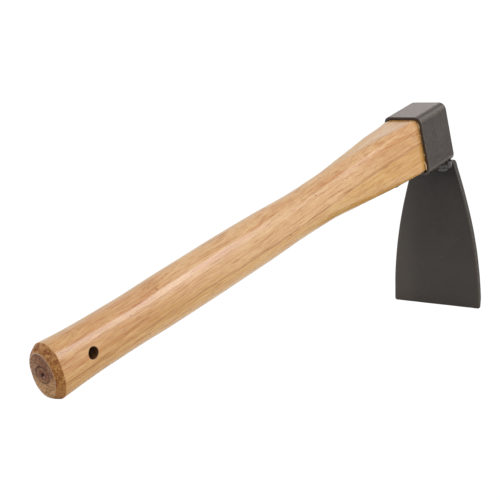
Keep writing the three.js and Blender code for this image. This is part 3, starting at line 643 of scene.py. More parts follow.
def handle_mesh():
    g = Cloud()
    hole_lo, hole_hi, cells = HOLE_U - 8.0, HOLE_U + 8.0, 12
    us = []
    us += list(np.linspace(-21.4, 14.0, 16))
    us += list(np.linspace(15.0, 26.0, 20))
    us += list(np.arange(27.0, 55.6, 1.1)) + [55.75, 55.97]
    body = [56.0] + list(np.arange(57.0, hole_lo - 0.8, 1.5))
    us += body
    us += list(np.linspace(hole_lo, hole_hi, cells + 1))
    us += list(np.arange(hole_hi + 1.3, CHAMFER_FROM - 1.3, 1.3))
    us = [float(v) for v in us]
    # far end: small worn edge
    rows = []
    first = []
    for uu, sc in ((FAR_END, 0.962), (FAR_END + 0.06, 0.974), (FAR_END + 0.25, 0.986), (FAR_END + 0.52, 0.995)):
        first.append((uu, sc))
    ring_ids = []
    for uu, sc in first:
        ring_ids.append(g.ring(handle_ring(uu, sc, flat=True)))
    far_row = ring_ids[0]
    for uu in us:
        ring_ids.append(g.ring(handle_ring(uu)))
    profile = [
        (CHAMFER_FROM - 0.75, 1.0), (CHAMFER_FROM - 0.40, 0.999), (CHAMFER_FROM - 0.12, 0.9955), (CHAMFER_FROM + 0.12, 0.9895), (CHAMFER_FROM + 0.45, 0.9795),
        (428.5, 0.962), (429.2, 0.943), (429.9, 0.923), (430.6, 0.9015), (431.2, 0.880), (431.75, 0.858), (432.25, 0.835), (432.65, 0.815),
        (432.93, 0.800), (433.09, 0.7895), (433.17, 0.781), (AXIS_END, 0.7725),
    ]
    for uu, sc in profile:
        R = handle_ring(CHAMFER_FROM, sc)
        R[:, 0] = -uu
        if sc > 0.9999:
            R = handle_ring(uu)
        else:
            # rasped by hand: slight facets
            ang = np.arctan2(R[:, 2] / 20, R[:, 1] / 14)
            w = math.sin(math.pi * min(1.0, max(0.0, (1 - sc) / 0.22)))
            R[:, 0] += 0.16 * w * wave(ang * 3.0, uu * 0.8)
        ring_ids.append(g.ring(R))
    # skin, leaving out the two windows for the hole
    start_u = {round(u, 4): i for i, u in enumerate(us)}
    i0 = len(first) + us.index(float(np.linspace(hole_lo, hole_hi, cells + 1)[0]))
    i1 = i0 + cells
    span = 9
    skip_cols = set()
    for base in (0, 2 * K):
        for j in range(-span, span):
            skip_cols.add((base + j) % RING)
    for i in range(len(ring_ids) - 1):
        a, b = ring_ids[i], ring_ids[i + 1]
        for j in range(RING):
            if i0 <= i < i1 and j in skip_cols:
                continue
            jj = (j + 1) % RING
            g.F.append((a[j], a[jj], b[jj], b[j]))
    # windows
    def window(base, sign):
        cols = [(base + j) % RING for j in range(-span, span + 1)]
        loop = [ring_ids[i0][c] for c in cols]
        loop += [ring_ids[i][cols[-1]] for i in range(i0 + 1, i1 + 1)]
        loop += [ring_ids[i1][c] for c in cols[::-1][1:]]
        loop += [ring_ids[i][cols[0]] for i in range(i1 - 1, i0, -1)]
        if sign < 0:
            pass
        return loop

    def surface_y(x, z, sign):
        out = np.zeros(len(x))
        for i, (xx, zz) in enumerate(zip(x, z)):
            a, b, zc, m, yc = section_at(-xx)
            yy, zz_ = outline_quarter(a, b, m)
            out[i] = yc + sign * float(np.interp(abs(zz - zc), zz_, yy))
        return out

    loops = []
    for base, sign in ((0, 1), (2 * K, -1)):
        loop = window(base, sign)
        P0 = np.array([g.P[i] for i in loop])
        th = np.arctan2(P0[:, 2] - HOLE_Z, P0[:, 0] + HOLE_U)
        R0 = np.hypot(P0[:, 2] - HOLE_Z, P0[:, 0] + HOLE_U)
        prev = loop
        lip = 0.55
        for t in (0.2, 0.4, 0.58, 0.74, 0.87, 0.95, 1.0):
            chip = 0.20 * np.clip(wave(th * 3.0, 1.0 + sign) + 0.1, 0, 1) + 0.07 * wave(th * 5.0, 3.0)
            r = R0 + (HOLE_R + lip + chip - R0) * t
            x = -HOLE_U + r * np.cos(th)
            z = HOLE_Z + r * np.sin(th)
            yv = surface_y(x, z, sign)
            blend = (1 - t) ** 2  # meets the wavy skin without a step
            yv = yv + (P0[:, 1] - surface_y(P0[:, 0], P0[:, 2], sign)) * blend
            row = g.ring(np.stack([x, yv, z], 1))
            g.skin(prev, row)
            prev = row
        for ph in (22.5, 45.0, 67.5, 90.0):
            p = math.radians(ph)
            r = HOLE_R + (lip + chip) * (1 - math.sin(p))
            dep = (lip + 0.8 * chip) * (1 - math.cos(p))
            x = -HOLE_U + r * np.cos(th)
            z = HOLE_Z + r * np.sin(th)
            yv = surface_y(x, z, sign) - sign * dep
            row = g.ring(np.stack([x, yv, z], 1))
            g.skin(prev, row)
            prev = row
        loops.append((prev, th, sign))
    # wall of the hole: match the two loops by angle
    (ra, tha, _), (rb, thb, _) = loops
    ob = [int(np.argmin(np.abs(np.angle(np.exp(1j * (thb - t)))))) for t in tha]
    pa = np.array([g.P[i] for i in ra])
    pb = np.array([g.P[rb[k]] for k in ob])
    prev = ra
    for t in np.linspace(0.0, 1.0, 14)[1:-1]:
        row = g.ring(pa + (pb - pa) * t)
        g.skin(prev, row)
        prev = row
    g.skin(prev, [rb[k] for k in ob])
    # butt face: rim, ellipse to circle, groove, centre pit
    last = ring_ids[-1]
    rim = np.array([g.P[i] for i in last])
    ang = np.arctan2(rim[:, 2], rim[:, 1])
    groove_r, groove_w, groove_d = 5.9, 0.62, 0.6
    out_r = groove_r + groove_w
    prev = last
    unit = np.stack([np.cos(ang), np.sin(ang)], 1)
    for t in (0.06, 0.16, 0.30, 0.46, 0.62, 0.78, 0.92, 1.0):
        tgt = unit * out_r
        yz = rim[:, 1:] * (1 - t) + tgt * t
        dish = -0.05 * math.sin(math.pi * min(1, t * 1.1))
        tool = 0.025 * wave(yz[:, 0] * 0.9, yz[:, 1] * 0.7) * math.sin(math.pi * t)
        row = g.ring(np.stack([-AXIS_END - dish + tool, yz[:, 0], yz[:, 1]], 1))
        g.skin(prev, row)
        prev = row
    for r, dep in (
        (groove_r + 0.50, 0.06), (groove_r + 0.36, 0.24), (groove_r + 0.20, 0.45), (groove_r + 0.07, 0.57), (groove_r - 0.07, 0.57), (groove_r - 0.20, 0.45),
        (groove_r - 0.36, 0.24), (groove_r - 0.50, 0.08), (groove_r - 0.66, 0.03), (4.4, 0.04), (3.6, 0.03), (2.9, 0.06), (2.3, 0.03), (1.75, 0.02), (1.5, 0.08),
        (1.3, 0.30), (1.05, 0.62), (0.75, 1.0), (0.4, 1.4),
    ):
        row = g.ring(np.stack([-AXIS_END + dep + 0.0 * ang, unit[:, 0] * r, unit[:, 1] * r], 1))
        g.skin(prev, row)
        prev = row
    g.fan(prev, g.point([-AXIS_END + 1.75, 0, 0]))
    # far end face
    rim = np.array([g.P[i] for i in far_row])
    cen = np.array([-FAR_END, 0.3, -0.02])
    prev = far_row
    for t in (0.05, 0.15, 0.3, 0.45, 0.6, 0.75, 0.88, 0.96):
        q = rim * (1 - t) + cen * t
        q[:, 0] = -FAR_END + 0.05 * wave(q[:, 1] * 0.6, q[:, 2] * 1.1) * math.sin(math.pi * t)
        row = g.ring(q)
        g.skin(prev, row)
        prev = row
    g.fan(prev, g.point(cen))
    return g


def wedge_profile(thick, tip, depth, grow, out):
    x0, x1 = -FAR_END + out, -FAR_END - depth - grow
    slope = (thick - tip) / 2 / depth
    t0 = thick / 2 + slope * out + grow
    t1 = tip / 2 + grow
    return x0, x1, t0, t1


def prism_object(name, pts):
    """Eight corners, in head-frame millimetres, as a plain cutter."""
    f = [(0, 1, 2, 3), (4, 7, 6, 5), (0, 4, 5, 1), (1, 5, 6, 2), (2, 6, 7, 3), (3, 7, 4, 0)]
    return build(name, pts, f, M_RAW)


def cut(ob, cutter):
    mod = ob.modifiers.new("cut", "BOOLEAN")
    mod.operation, mod.solver, mod.object = "DIFFERENCE", "EXACT", cutter
    dg = bpy.context.evaluated_depsgraph_get()
    me = bpy.data.meshes.new_from_object(ob.evaluated_get(dg), depsgraph=dg)
    old = ob.data
    ob.modifiers.clear()
    ob.data = me
    bpy.data.meshes.remove(old)
    m = cutter.data
    bpy.data.objects.remove(cutter)
    bpy.data.meshes.remove(m)


g = handle_mesh()
handle = build("handle_turned", g.P, g.F, M_WOOD)
VG = 0.09  # fit of the wedges in the wood
x0, x1, t0, t1 = wedge_profile(WEDGE_T, WEDGE_TIP, WEDGE_DEPTH, VG, 4.0)
cut(handle, prism_object("cutter", [(x0, t0, -40), (x1, t1, -40), (x1, -t1, -40), (x0, -t0, -40), (x0, t0, 40), (x1, t1, 40), (x1, -t1, 40), (x0, -t0, 40)]))
cut(handle, prism_object("cutter", [(-FAR_END - WEDGE_DEPTH + 2, 0.6, -40), (-FAR_END - KERF_DEPTH, 0.6, -40), (-FAR_END - KERF_DEPTH, -0.6, -40), (-FAR_END - WEDGE_DEPTH + 2, -0.6, -40), (-FAR_END - WEDGE_DEPTH + 2, 0.6, 40), (-FAR_END - KERF_DEPTH, 0.6, 40), (-FAR_END - KERF_DEPTH, -0.6, 40), (-FAR_END - WEDGE_DEPTH + 2, -0.6, 40)]))
x0, x1, t0, t1 = wedge_profile(STEEL_WEDGE_T, STEEL_WEDGE_TIP, STEEL_WEDGE_DEPTH, VG, 4.0)
hw = STEEL_WEDGE_W / 2 + VG
cut(handle, prism_object("cutter", [(x0, -hw, STEEL_WEDGE_Z + t0), (x1, -hw, STEEL_WEDGE_Z + t1), (x1, -hw, STEEL_WEDGE_Z - t1), (x0, -hw, STEEL_WEDGE_Z - t0), (x0, hw, STEEL_WEDGE_Z + t0), (x1, hw, STEEL_WEDGE_Z + t1), (x1, hw, STEEL_WEDGE_Z - t1), (x0, hw, STEEL_WEDGE_Z - t0)]))
handle.data.polygons.foreach_set("use_smooth", [True] * len(handle.data.polygons))
handle.data.set_sharp_from_angle(angle=math.radians(42))
handle.data.update()


# ------------------------------------------------------------------ rounded blocks (wedges, shim)
def rounded_block(name, L, W, Tk, r, place, material, nx=12, ny=8, wear_r=True, bend=None, taper=None):
    """A block L x W x Tk with rounded edges. place maps (x, y, z) block points to head-frame points."""
    def axis(half, cells):
        a = [-half, -half + r * 0.29, -half + r]
        mid = list(np.linspace(-half + r, half - r, cells + 1)[1:-1])
        return np.array(a + mid + [half - r, half - r * 0.29, half])
    ax, ay_, az_ = axis(L / 2, nx), axis(W / 2, ny), axis(Tk / 2, 2)
    g = Cloud()
    index = {}

    def vert(i, j, k):
        key = (i, j, k)
        if key in index:
            return index[key]
        p = np.array([ax[i], ay_[j], az_[k]])
        half = np.array([L / 2, W / 2, Tk / 2])
        core = np.clip(p, -(half - r), half - r)
        d = p - core
        ln = np.linalg.norm(d)
        edge = 0.0
        if ln > 1e-9:
            n_out = (np.abs(d) > 1e-9).sum()
            p = core + d / ln * r
            edge = 1.0 if n_out > 1 else 0.0
        index[key] = g.point(place(p), edge)
        return index[key]

    nX, nY, nZ = len(ax) - 1, len(ay_) - 1, len(az_) - 1
    for i in range(nX):
        for j in range(nY):
            g.F.append((vert(i, j, 0), vert(i, j + 1, 0), vert(i + 1, j + 1, 0), vert(i + 1, j, 0)))
            g.F.append((vert(i, j, nZ), vert(i + 1, j, nZ), vert(i + 1, j + 1, nZ), vert(i, j + 1, nZ)))
    for i in range(nX):
        for k in range(nZ):
            g.F.append((vert(i, 0, k), vert(i + 1, 0, k), vert(i + 1, 0, k + 1), vert(i, 0, k + 1)))
            g.F.append((vert(i, nY, k), vert(i, nY, k + 1), vert(i + 1, nY, k + 1), vert(i + 1, nY, k)))
    for j in range(nY):
        for k in range(nZ):
            g.F.append((vert(0, j, k), vert(0, j, k + 1), vert(0, j + 1, k + 1), vert(0, j + 1, k)))
            g.F.append((vert(nX, j, k), vert(nX, j + 1, k), vert(nX, j + 1, k + 1), vert(nX, j, k + 1)))
    return build(name, g.P, g.F, material, wear_and_sheen=g.W)


def taper_place(x_thick, depth, thick, tip, z0, across):
    """Block axes to a wedge whose thick end is at x_thick. across 'y' = thickness along Y, 'z' = along Z."""
    def f(p):
        t = (x_thick - (x_thick - depth / 2 + p[0])) / depth  # 0 at the thick end
        k = (thick + (tip - thick) * t) / thick
        if across == "y":
            return [x_thick - depth / 2 + p[0], p[2] * k, z0 + p[1]]
        return [x_thick - depth / 2 + p[0], p[1], z0 + p[2] * k]
    return f


PROUD = 0.6
wood_wedge = rounded_block(
    "wood_wedge_driven", WEDGE_DEPTH + PROUD, 41.0, WEDGE_T + 0.07, 0.35,
    taper_place(-FAR_END + PROUD, WEDGE_DEPTH + PROUD, WEDGE_T + 0.07, WEDGE_TIP, 0.45, "y"), M_WEDGE_WOOD, 20, 30,
)
x0, x1, t0, t1 = wedge_profile(STEEL_WEDGE_T, STEEL_WEDGE_TIP, STEEL_WEDGE_DEPTH, 0.06, 4.0)
hw = STEEL_WEDGE_W / 2 + 0.05
cut(wood_wedge, prism_object("cutter", [(x0, -hw, STEEL_WEDGE_Z + t0), (x1, -hw, STEEL_WEDGE_Z + t1), (x1, -hw, STEEL_WEDGE_Z - t1), (x0, -hw, STEEL_WEDGE_Z - t0), (x0, hw, STEEL_WEDGE_Z + t0), (x1, hw, STEEL_WEDGE_Z + t1), (x1, hw, STEEL_WEDGE_Z - t1), (x0, hw, STEEL_WEDGE_Z - t0)]))
wood_wedge.data.polygons.foreach_set("use_smooth", [True] * len(wood_wedge.data.polygons))
wood_wedge.data.set_sharp_from_angle(angle=math.radians(40))


def steel_wedge_place(p):
    q = taper_place(-FAR_END + PROUD + 0.5, STEEL_WEDGE_DEPTH + PROUD + 0.5, STEEL_WEDGE_T + 0.1, STEEL_WEDGE_TIP, STEEL_WEDGE_Z, "z")(p)
    # the driven end is a little mushroomed and uneven
    end = float(ease((q[0] - (-FAR_END - 0.6)) / 1.7))
    q[2] = STEEL_WEDGE_Z + (q[2] - STEEL_WEDGE_Z) * (1 + 0.13 * end * (1 + 0.5 * float(wave(q[1] * 0.7, 1.0))))
    q[0] += 0.10 * end * float(wave(q[1] * 0.55, q[2] * 1.2))
    return q


steel_wedge = rounded_block("steel_wedge_driven", STEEL_WEDGE_DEPTH + PROUD + 0.5, STEEL_WEDGE_W, STEEL_WEDGE_T + 0.1, 0.34, steel_wedge_place, M_WEDGE, 18, 16)

shim_z = FLOOR_Z + 0.25 + SHIM_T / 2
shim = rounded_block(
    "steel_shim_strip", SHIM_TO - SHIM_FROM, 2 * SHIM_HALF_W, SHIM_T, 0.16,
    lambda p: [-(SHIM_TO + SHIM_FROM) / 2 + p[0], p[1], shim_z + p[2]], M_SHIM, 30, 10,
)


# ------------------------------------------------------------------ collar
def collar_mesh():
    g = Cloud()
    # base outline with outward normals: corner centres plus radius
    hw, hh, r = COLLAR_W / 2, COLLAR_H / 2, COLLAR_R
    base, norm = [], []
    corners = [(hw - r, hh - r, 0), (-hw + r, hh - r, 90), (-hw + r, -hh + r, 180), (hw - r, -hh + r, 270)]
    for k, (cy, cz, a0) in enumerate(corners):
        for i in range(13):
            t = math.radians(a0 + 90 * i / 12)
            base.append((cy, cz))
            norm.append((math.cos(t), math.sin(t)))
        ny, nz, _ = corners[(k + 1) % 4]
        steps = 11 if k % 2 == 0 else 17
        t = math.radians(a0 + 90)
        # first and last supports sit close to the corner
        for i in range(1, steps):
            f = i / steps
            f = 0.5 - 0.5 * math.cos(math.pi * f) * (0.6 + 0.4 * abs(math.cos(math.pi * f)))
            base.append((cy + (ny - cy) * f, cz + (nz - cz) * f))
            norm.append((math.cos(t), math.sin(t)))
    base, norm = np.array(base), np.array(norm)
    # path across the wall: (offset from the outer face, x, wear_and_sheen)
    L = COLLAR_L / 2
    ro, ri = 0.42, 0.30
    path = []
    for i in range(21):
        x = -L + ro + (2 * L - 2 * ro) * (0.5 - 0.5 * math.cos(math.pi * i / 20))
        path.append((0.0, x, 0.0))
    def arc(cd, cx, r_, a0, a1, n=5, wear_and_sheen=1.0):
        for i in range(1, n):
            a = math.radians(a0 + (a1 - a0) * i / n)
            path.append((cd + r_ * math.sin(a), cx + r_ * math.cos(a), wear_and_sheen))
    arc(-ro, L - ro, ro, 90, 0)
    path.append((-ro, L, 0.35))
    for f in (0.25, 0.5, 0.75):
        path.append((-ro - (WALL - ro - ri) * f, L, 0.0))
    path.append((-WALL + ri, L, 0.2))
    arc(-WALL + ri, L - ri, ri, 0, -90, wear_and_sheen=0.5)
    for i in range(21):
        x = L - ri - (2 * L - 2 * ri) * (0.5 - 0.5 * math.cos(math.pi * i / 20))
        path.append((-WALL, x, 0.0))
    arc(-WALL + ri, -L + ri, ri, 270, 180, wear_and_sheen=0.5)
    path.append((-WALL + ri, -L, 0.2))
    for f in (0.75, 0.5, 0.25):
        path.append((-ro - (WALL - ro - ri) * f, -L, 0.0))
    path.append((-ro, -L, 0.35))
    arc(-ro, -L + ro, ro, 180, 90)
    rows = []
    ang = np.arctan2(base[:, 1] + norm[:, 1], base[:, 0] + norm[:, 0])
    for d, x, w in path:
        p = base + norm * (r + d)
        P = np.stack([np.full(len(p), x), p[:, 0], p[:, 1] + TUBE_Z], 1)
        # sawn ends are not quite true, and the faces have the slightest hollow between the corners
        P[:, 0] += 0.05 * wave(ang * 1.7, 1.0 if x > 0 else 4.0) * (abs(x) > L - 1.0)
        if d > -1e-6 or d < -WALL + 1e-6:
            mid = np.clip(1 - (np.abs(p[:, 0]) / (hw - r)) ** 2, 0, 1) * (np.abs(norm[:, 1]) > 0.999) + np.clip(1 - (np.abs(p[:, 1]) / (hh - r)) ** 2, 0, 1) * (np.abs(norm[:, 0]) > 0.999)
            P[:, 1] -= 0.10 * mid * norm[:, 0]
            P[:, 2] -= 0.08 * mid * norm[:, 1]
        rows.append(g.ring(P, w))
    for i in range(len(rows)):
        g.skin(rows[i], rows[(i + 1) % len(rows)])
    # the rounded corners of the tube carry some wear and a painted highlight: a lighter, mottled line strongest about
    # 20 degrees up from the flank
    P = np.array(g.P)
    corner_wear_and_highlight = np.zeros(len(P))
    n = len(base)
    for i in range(len(rows)):
        d, x, w = path[i]
        if d > -ro - 1e-6:
            for j in range(n):
                t = math.degrees(math.atan2(abs(norm[j][1]), abs(norm[j][0])))  # 0 on the flank, 90 on top
                if 0.5 < t < 89.5:
                    corner_wear_and_highlight[rows[i][j]] = 0.22 + 0.5 * math.exp(-(((t - 20) / 14) ** 2))
    W = np.maximum(np.array(g.W), corner_wear_and_highlight)
    return g, W


g, W = collar_mesh()
collar = build("collar_tube", g.P, g.F, M_TUBE, wear_and_sheen=W)

# ------------------------------------------------------------------ blade
DOWN = np.array([-math.sin(LEAN), 0.0, -math.cos(LEAN)])
AWAY = np.array([math.cos(LEAN), 0.0, -math.sin(LEAN)])
BLADE_TOP = np.array([BLADE_TOP_X, 0.0, UNDER_Z])


def blade_point(s, y, n):
    return BLADE_TOP + np.asarray(s)[..., None] * DOWN + np.asarray(n)[..., None] * AWAY + np.asarray(y)[..., None] * EY


def thickness(s):
    s = np.asarray(s, float)
    shoulder = BLADE_LEN - BEVEL_LEN
    t = BLADE_T_TOP + (BLADE_T_LOW - BLADE_T_TOP) * np.clip(s / shoulder, 0, 1)
    bev = BLADE_T_LOW + (EDGE_LAND - BLADE_T_LOW) * (s - shoulder) / BEVEL_LEN
    # soften the shoulder of the bevel
    k = 0.06
    return -k * np.log(np.exp(-t / k) + np.exp(-np.where(s > shoulder - 8, bev, 99.0) / k)) + 0.0


def blade_half(s):
    s = np.asarray(s, float)
    w = half_w(np.clip(s, 0, BLADE_LEN))
    w = np.where(s < 0, half_w(0.0) + 0.4 * s, w)
    t = np.clip((s - (BLADE_LEN - BLADE_CORNER_R)) / BLADE_CORNER_R, 0, 1)
    w = w - BLADE_CORNER_R * (1 - np.sqrt(np.clip(1 - t * t, 0, 1)))
    t = np.clip((BLADE_TOP_R - s) / BLADE_TOP_R, 0, 1)
    return w - BLADE_TOP_R * (1 - np.sqrt(np.clip(1 - t * t, 0, 1)))


def blade_mesh():
    g = Cloud()
    s_top = 0.0
    corner = BLADE_LEN - BLADE_CORNER_R + BLADE_CORNER_R * np.sin(np.radians(np.linspace(0, 90, 9)))
    upper = BLADE_TOP_R * (1 - np.cos(np.radians(np.linspace(0, 90, 9))))
    S = np.concatenate([upper, np.linspace(BLADE_TOP_R, BLADE_LEN - BLADE_CORNER_R, 64)[1:-1], corner])
    NC = 44
    # plan outline: down the +Y side, along the edge, up the -Y side, along the top
    side = [(s, float(blade_half(s))) for s in S]
    cols = np.linspace(1, -1, NC + 1)
    wl = float(blade_half(BLADE_LEN))
    wt = float(blade_half(s_top))
    out = [(s, w) for s, w in side]
    out += [(BLADE_LEN, wl * c) for c in cols[1:-1]]
    out += [(s, -w) for s, w in side[::-1]]
    out += [(s_top, wt * c) for c in cols[::-1][1:-1]]
    out = np.array(out)
    n = len(out)
    nxt, prv = np.roll(out, -1, 0), np.roll(out, 1, 0)
    tan = nxt - prv
    tan /= np.linalg.norm(tan, axis=1, keepdims=True)
    nor = np.stack([-tan[:, 1], tan[:, 0]], 1)
    # outward: away from the middle
    mid = np.array([BLADE_LEN / 2, 0.0])
    flip = np.sign(((out - mid) * nor).sum(1))
    nor *= flip[:, None]
    # rounding of the plate's edges: at most 0.5 mm and 0.3 of the thickness, 0.28 mm at the cutting edge
    thick = thickness(out[:, 0])
    r = np.minimum(0.5, 0.30 * thick)
    r = np.where(out[:, 0] > BLADE_LEN - 0.4, 0.28, r)
    # unevenness of a hand-finished edge
    arc_len = np.concatenate([[0], np.cumsum(np.linalg.norm(np.diff(out, axis=0), axis=1))])
    uneven = 0.05 * wave(arc_len / 9.0, 0.0) * (out[:, 0] > 3)
    rows = []
    def row(inset, depth_n, wear_and_sheen, frm):
        p = out - nor * (inset - uneven)[:, None]
        nn = depth_n if frm == "front" else thick - depth_n
        return g.ring(blade_point(p[:, 0], p[:, 1], nn), wear_and_sheen)
    steps = [0, 22.5, 45, 67.5, 90]
    for a in steps:
        t = math.radians(a)
        rows.append(row(r * (1 - math.sin(t)), r * (1 - math.cos(t)), 1.0 if 0 < a < 90 else 0.45, "front"))
    for f in (0.33, 0.66):
        p = out + nor * uneven[:, None]
        nn = r + (thick - 2 * r) * f
        rows.append(g.ring(blade_point(p[:, 0], p[:, 1], nn), 0.42 * np.clip(1.1 - out[:, 0] / 75.0, 0.12, 1.0)))
    for a in steps[::-1]:
        t = math.radians(a)
        rows.append(row(r * (1 - math.sin(t)), r * (1 - math.cos(t)), 1.0 if 0 < a < 90 else 0.45, "back"))
    for a, b in zip(rows[:-1], rows[1:]):
        g.skin(a, b)
    # faces: grids whose border is the first or last row
    ns = len(S)
    def grid(border, front):
        # border index of (i, side): i down the +Y side, then the edge, then up, then the top
        G = np.zeros((ns, NC + 1), int)
        for i in range(ns):
            G[i, 0] = border[i]
            G[i, NC] = border[ns + (NC - 1) + (ns - 1 - i)]
        for c in range(1, NC):
            G[ns - 1, c] = border[ns + c - 1]
            G[0, c] = border[2 * ns + (NC - 1) + (NC - 1 - c)]
        for i in range(1, ns - 1):
            pl, pr = np.array(g.P[G[i, 0]]), np.array(g.P[G[i, NC]])
            for c in range(1, NC):
                f = c / NC
                p = pl * (1 - f) + pr * f
                # rolled plate: the faces carry a very slight unevenness
                s_, y_ = S[i], cols[c] * 30
                p = p + AWAY * (0.035 * float(wave(s_ / 17.0, y_ / 13.0 + (0 if front else 3))) * math.sin(math.pi * f) * min(1, i / 6, (ns - 1 - i) / 6))
                G[i, c] = g.point(p)
        for i in range(ns - 1):
            for c in range(NC):
                g.F.append((G[i, c], G[i, c + 1], G[i + 1, c + 1], G[i + 1, c]))
    grid(rows[0], True)
    grid(rows[-1], False)
    P = np.array(g.P)
    # the top is cut level with the underside of the tube: slide points up along the blade
    # (thickness n lifts the top by n * tan(lean)); points near the top follow
    rel = P - BLADE_TOP
    s = rel @ DOWN
    nn = rel @ AWAY
    want = -0.10 - math.tan(LEAN) * nn  # s at which this point would touch the tube, slightly into it
    near = np.clip(1 - s / 6.0, 0, 1)
    P = P + DOWN * (want * near)[:, None]
    g.P = P.tolist()
    return g


g = blade_mesh()
blade = build("blade_plate", g.P, g.F, M_BLADE, wear_and_sheen=g.W)


# ------------------------------------------------------------------ welds
def bead_mesh(side, leg_x, leg_s, half_len, lumps, seed, overhang):
    """A rippled bead in the corner between the tube's underside and one face of the blade."""
    g = Cloud()
    NA, NY = 22, 150
    if side < 0:
        root = np.array([BLADE_TOP_X, 0.0, UNDER_Z])
        d0, d1 = DOWN, np.array([-1.0, 0.0, 0.0])
    else:
        root = BLADE_TOP + AWAY * BLADE_T_TOP
        root = root - DOWN * (math.tan(LEAN) * BLADE_T_TOP)
        d0, d1 = DOWN, np.array([1.0, 0.0, 0.0])
    open_angle = math.acos(float(d0 @ d1))
    perp = d1 - d0 * float(d0 @ d1)
    perp /= np.linalg.norm(perp)
    ys = half_len * np.sin(np.linspace(-math.pi / 2, math.pi / 2, NY))
    extra = math.radians(9)
    al = np.linspace(-extra, open_angle + extra, NA)
    rows = []
    for y in ys:
        endf = math.sqrt(max(0.0, 1 - (abs(y) / half_len) ** 7))
        ring = []
        for a in al:
            t = np.clip(a / open_angle, 0, 1)
            chord = leg_s * leg_x * math.sin(open_angle) / (leg_s * math.sin(open_angle * t) + leg_x * math.sin(open_angle * (1 - t)) + 1e-9)
            rho = chord * (1 + 0.16 * math.sin(math.pi * t))
            # ripples: crescents stacked along the bead
            ph = (y + 1.6 * math.sin(math.pi * t)) / 1.55 + seed
            rip = abs(math.sin(ph)) ** 0.7
            rho += 0.26 * (rip - 0.6) + 0.22 * float(wave(y / 2.3 + seed, t * 2.2))
            for (ly, lt, ry, rt, h) in lumps:
                k = 1 - ((y - ly) / ry) ** 2 - ((t - lt) / rt) ** 2
                if k > 0:
                    rho += h * math.sqrt(k)
            rho = max(0.05, rho * endf)
            ring.append(root + rho * (math.cos(a) * d0 + math.sin(a) * perp) + EY * y)
        ring = np.array(ring)
        # close through the root, sunk into the plate and the tube
        sink = root + EY * y - 0.5 * (d0 + d1) * 0.6
        rows.append(g.ring(np.vstack([ring, sink[None]]), 0.0))
    for a, b in zip(rows[:-1], rows[1:]):
        g.skin(a, b)
    for r_, y in ((rows[0], ys[0]), (rows[-1], ys[-1])):
        g.fan(r_, g.point(np.mean([g.P[i] for i in r_], 0)))
    return g


def drop(g, s_, y_, n_, rs, ry, rn, seed, tilt=0.0):
    """One solidified drop of weld metal: an uneven ellipsoid. s_ down the blade, n_ across its thickness."""
    NU, NV = 30, 18
    c = BLADE_TOP + s_ * DOWN + n_ * AWAY + y_ * EY
    ca, sa = math.cos(tilt), math.sin(tilt)
    rings = []
    for i in range(1, NV):
        v = math.pi * i / NV
        ring = []
        for j in range(NU):
            h = 2 * math.pi * j / NU
            d = np.array([math.sin(v) * math.cos(h), math.cos(v), math.sin(v) * math.sin(h)])  # s, y, n
            k = 1 + 0.06 * float(wave(2.2 * d[0] + seed, 2.4 * d[1], 2.0 * d[2])) + 0.010 * math.sin(13 * d[1] + 3 * d[0] + seed)
            a_, b_ = d[0] * rs * k, d[1] * ry * k
            a_, b_ = ca * a_ - sa * b_, sa * a_ + ca * b_
            ring.append(c + a_ * DOWN + b_ * EY + d[2] * rn * k * AWAY)
        rings.append(g.ring(ring))
    for a, b in zip(rings[:-1], rings[1:]):
        g.skin(a, b)
    for ring in (rings[0], rings[-1]):
        g.fan(ring, g.point(np.mean([g.P[i] for i in ring], 0)))


g = bead_mesh(-1, 4.6, 5.0, 18.0, [], 0.4, 0.0)
for k, (s_, y_, n_, rs, ry, rn, tilt) in enumerate(
    (
        (2.5, -16.3, -1.5, 3.5, 3.9, 3.0, 0.0),
        (6.2, -10.2, -0.4, 2.9, 5.2, 2.3, -0.12),
        (2.9, -10.6, -2.1, 3.4, 4.0, 2.8, 0.1),
        (3.4, -4.6, -1.9, 3.7, 3.9, 2.9, 0.0),
        (3.0, 1.2, -2.0, 3.5, 4.1, 2.9, 0.1),
        (3.5, 6.8, -1.7, 3.8, 3.7, 2.8, -0.1),
        (2.9, 11.8, -1.9, 3.4, 3.8, 2.9, 0.0),
        (2.5, 16.0, -1.5, 3.2, 3.4, 2.8, 0.1),
        (0.9, -17.3, 1.6, 2.2, 1.9, 2.2, 0.0),
    )
):
    drop(g, s_, y_, n_, rs, ry, rn, 1.3 * k + 0.5, tilt)
weld_in = build("weld_inner_bead", g.P, g.F, M_WELD, wear_and_sheen=g.W)
g = bead_mesh(1, 2.2, 3.6, 14.6, [], 1.9, 0.0)
for k, y_ in enumerate((-11.6, -7.0, -2.2, 2.6, 7.3, 11.8)):
    drop(g, 1.6 + 0.25 * math.sin(2.1 * k), y_, BLADE_T_TOP + 0.35, 2.6, 3.1, 1.7, 2.1 * k + 4.0, 0.1 * math.sin(k))
weld_out = build("weld_outer_bead", g.P, g.F, M_WELD, wear_and_sheen=g.W)


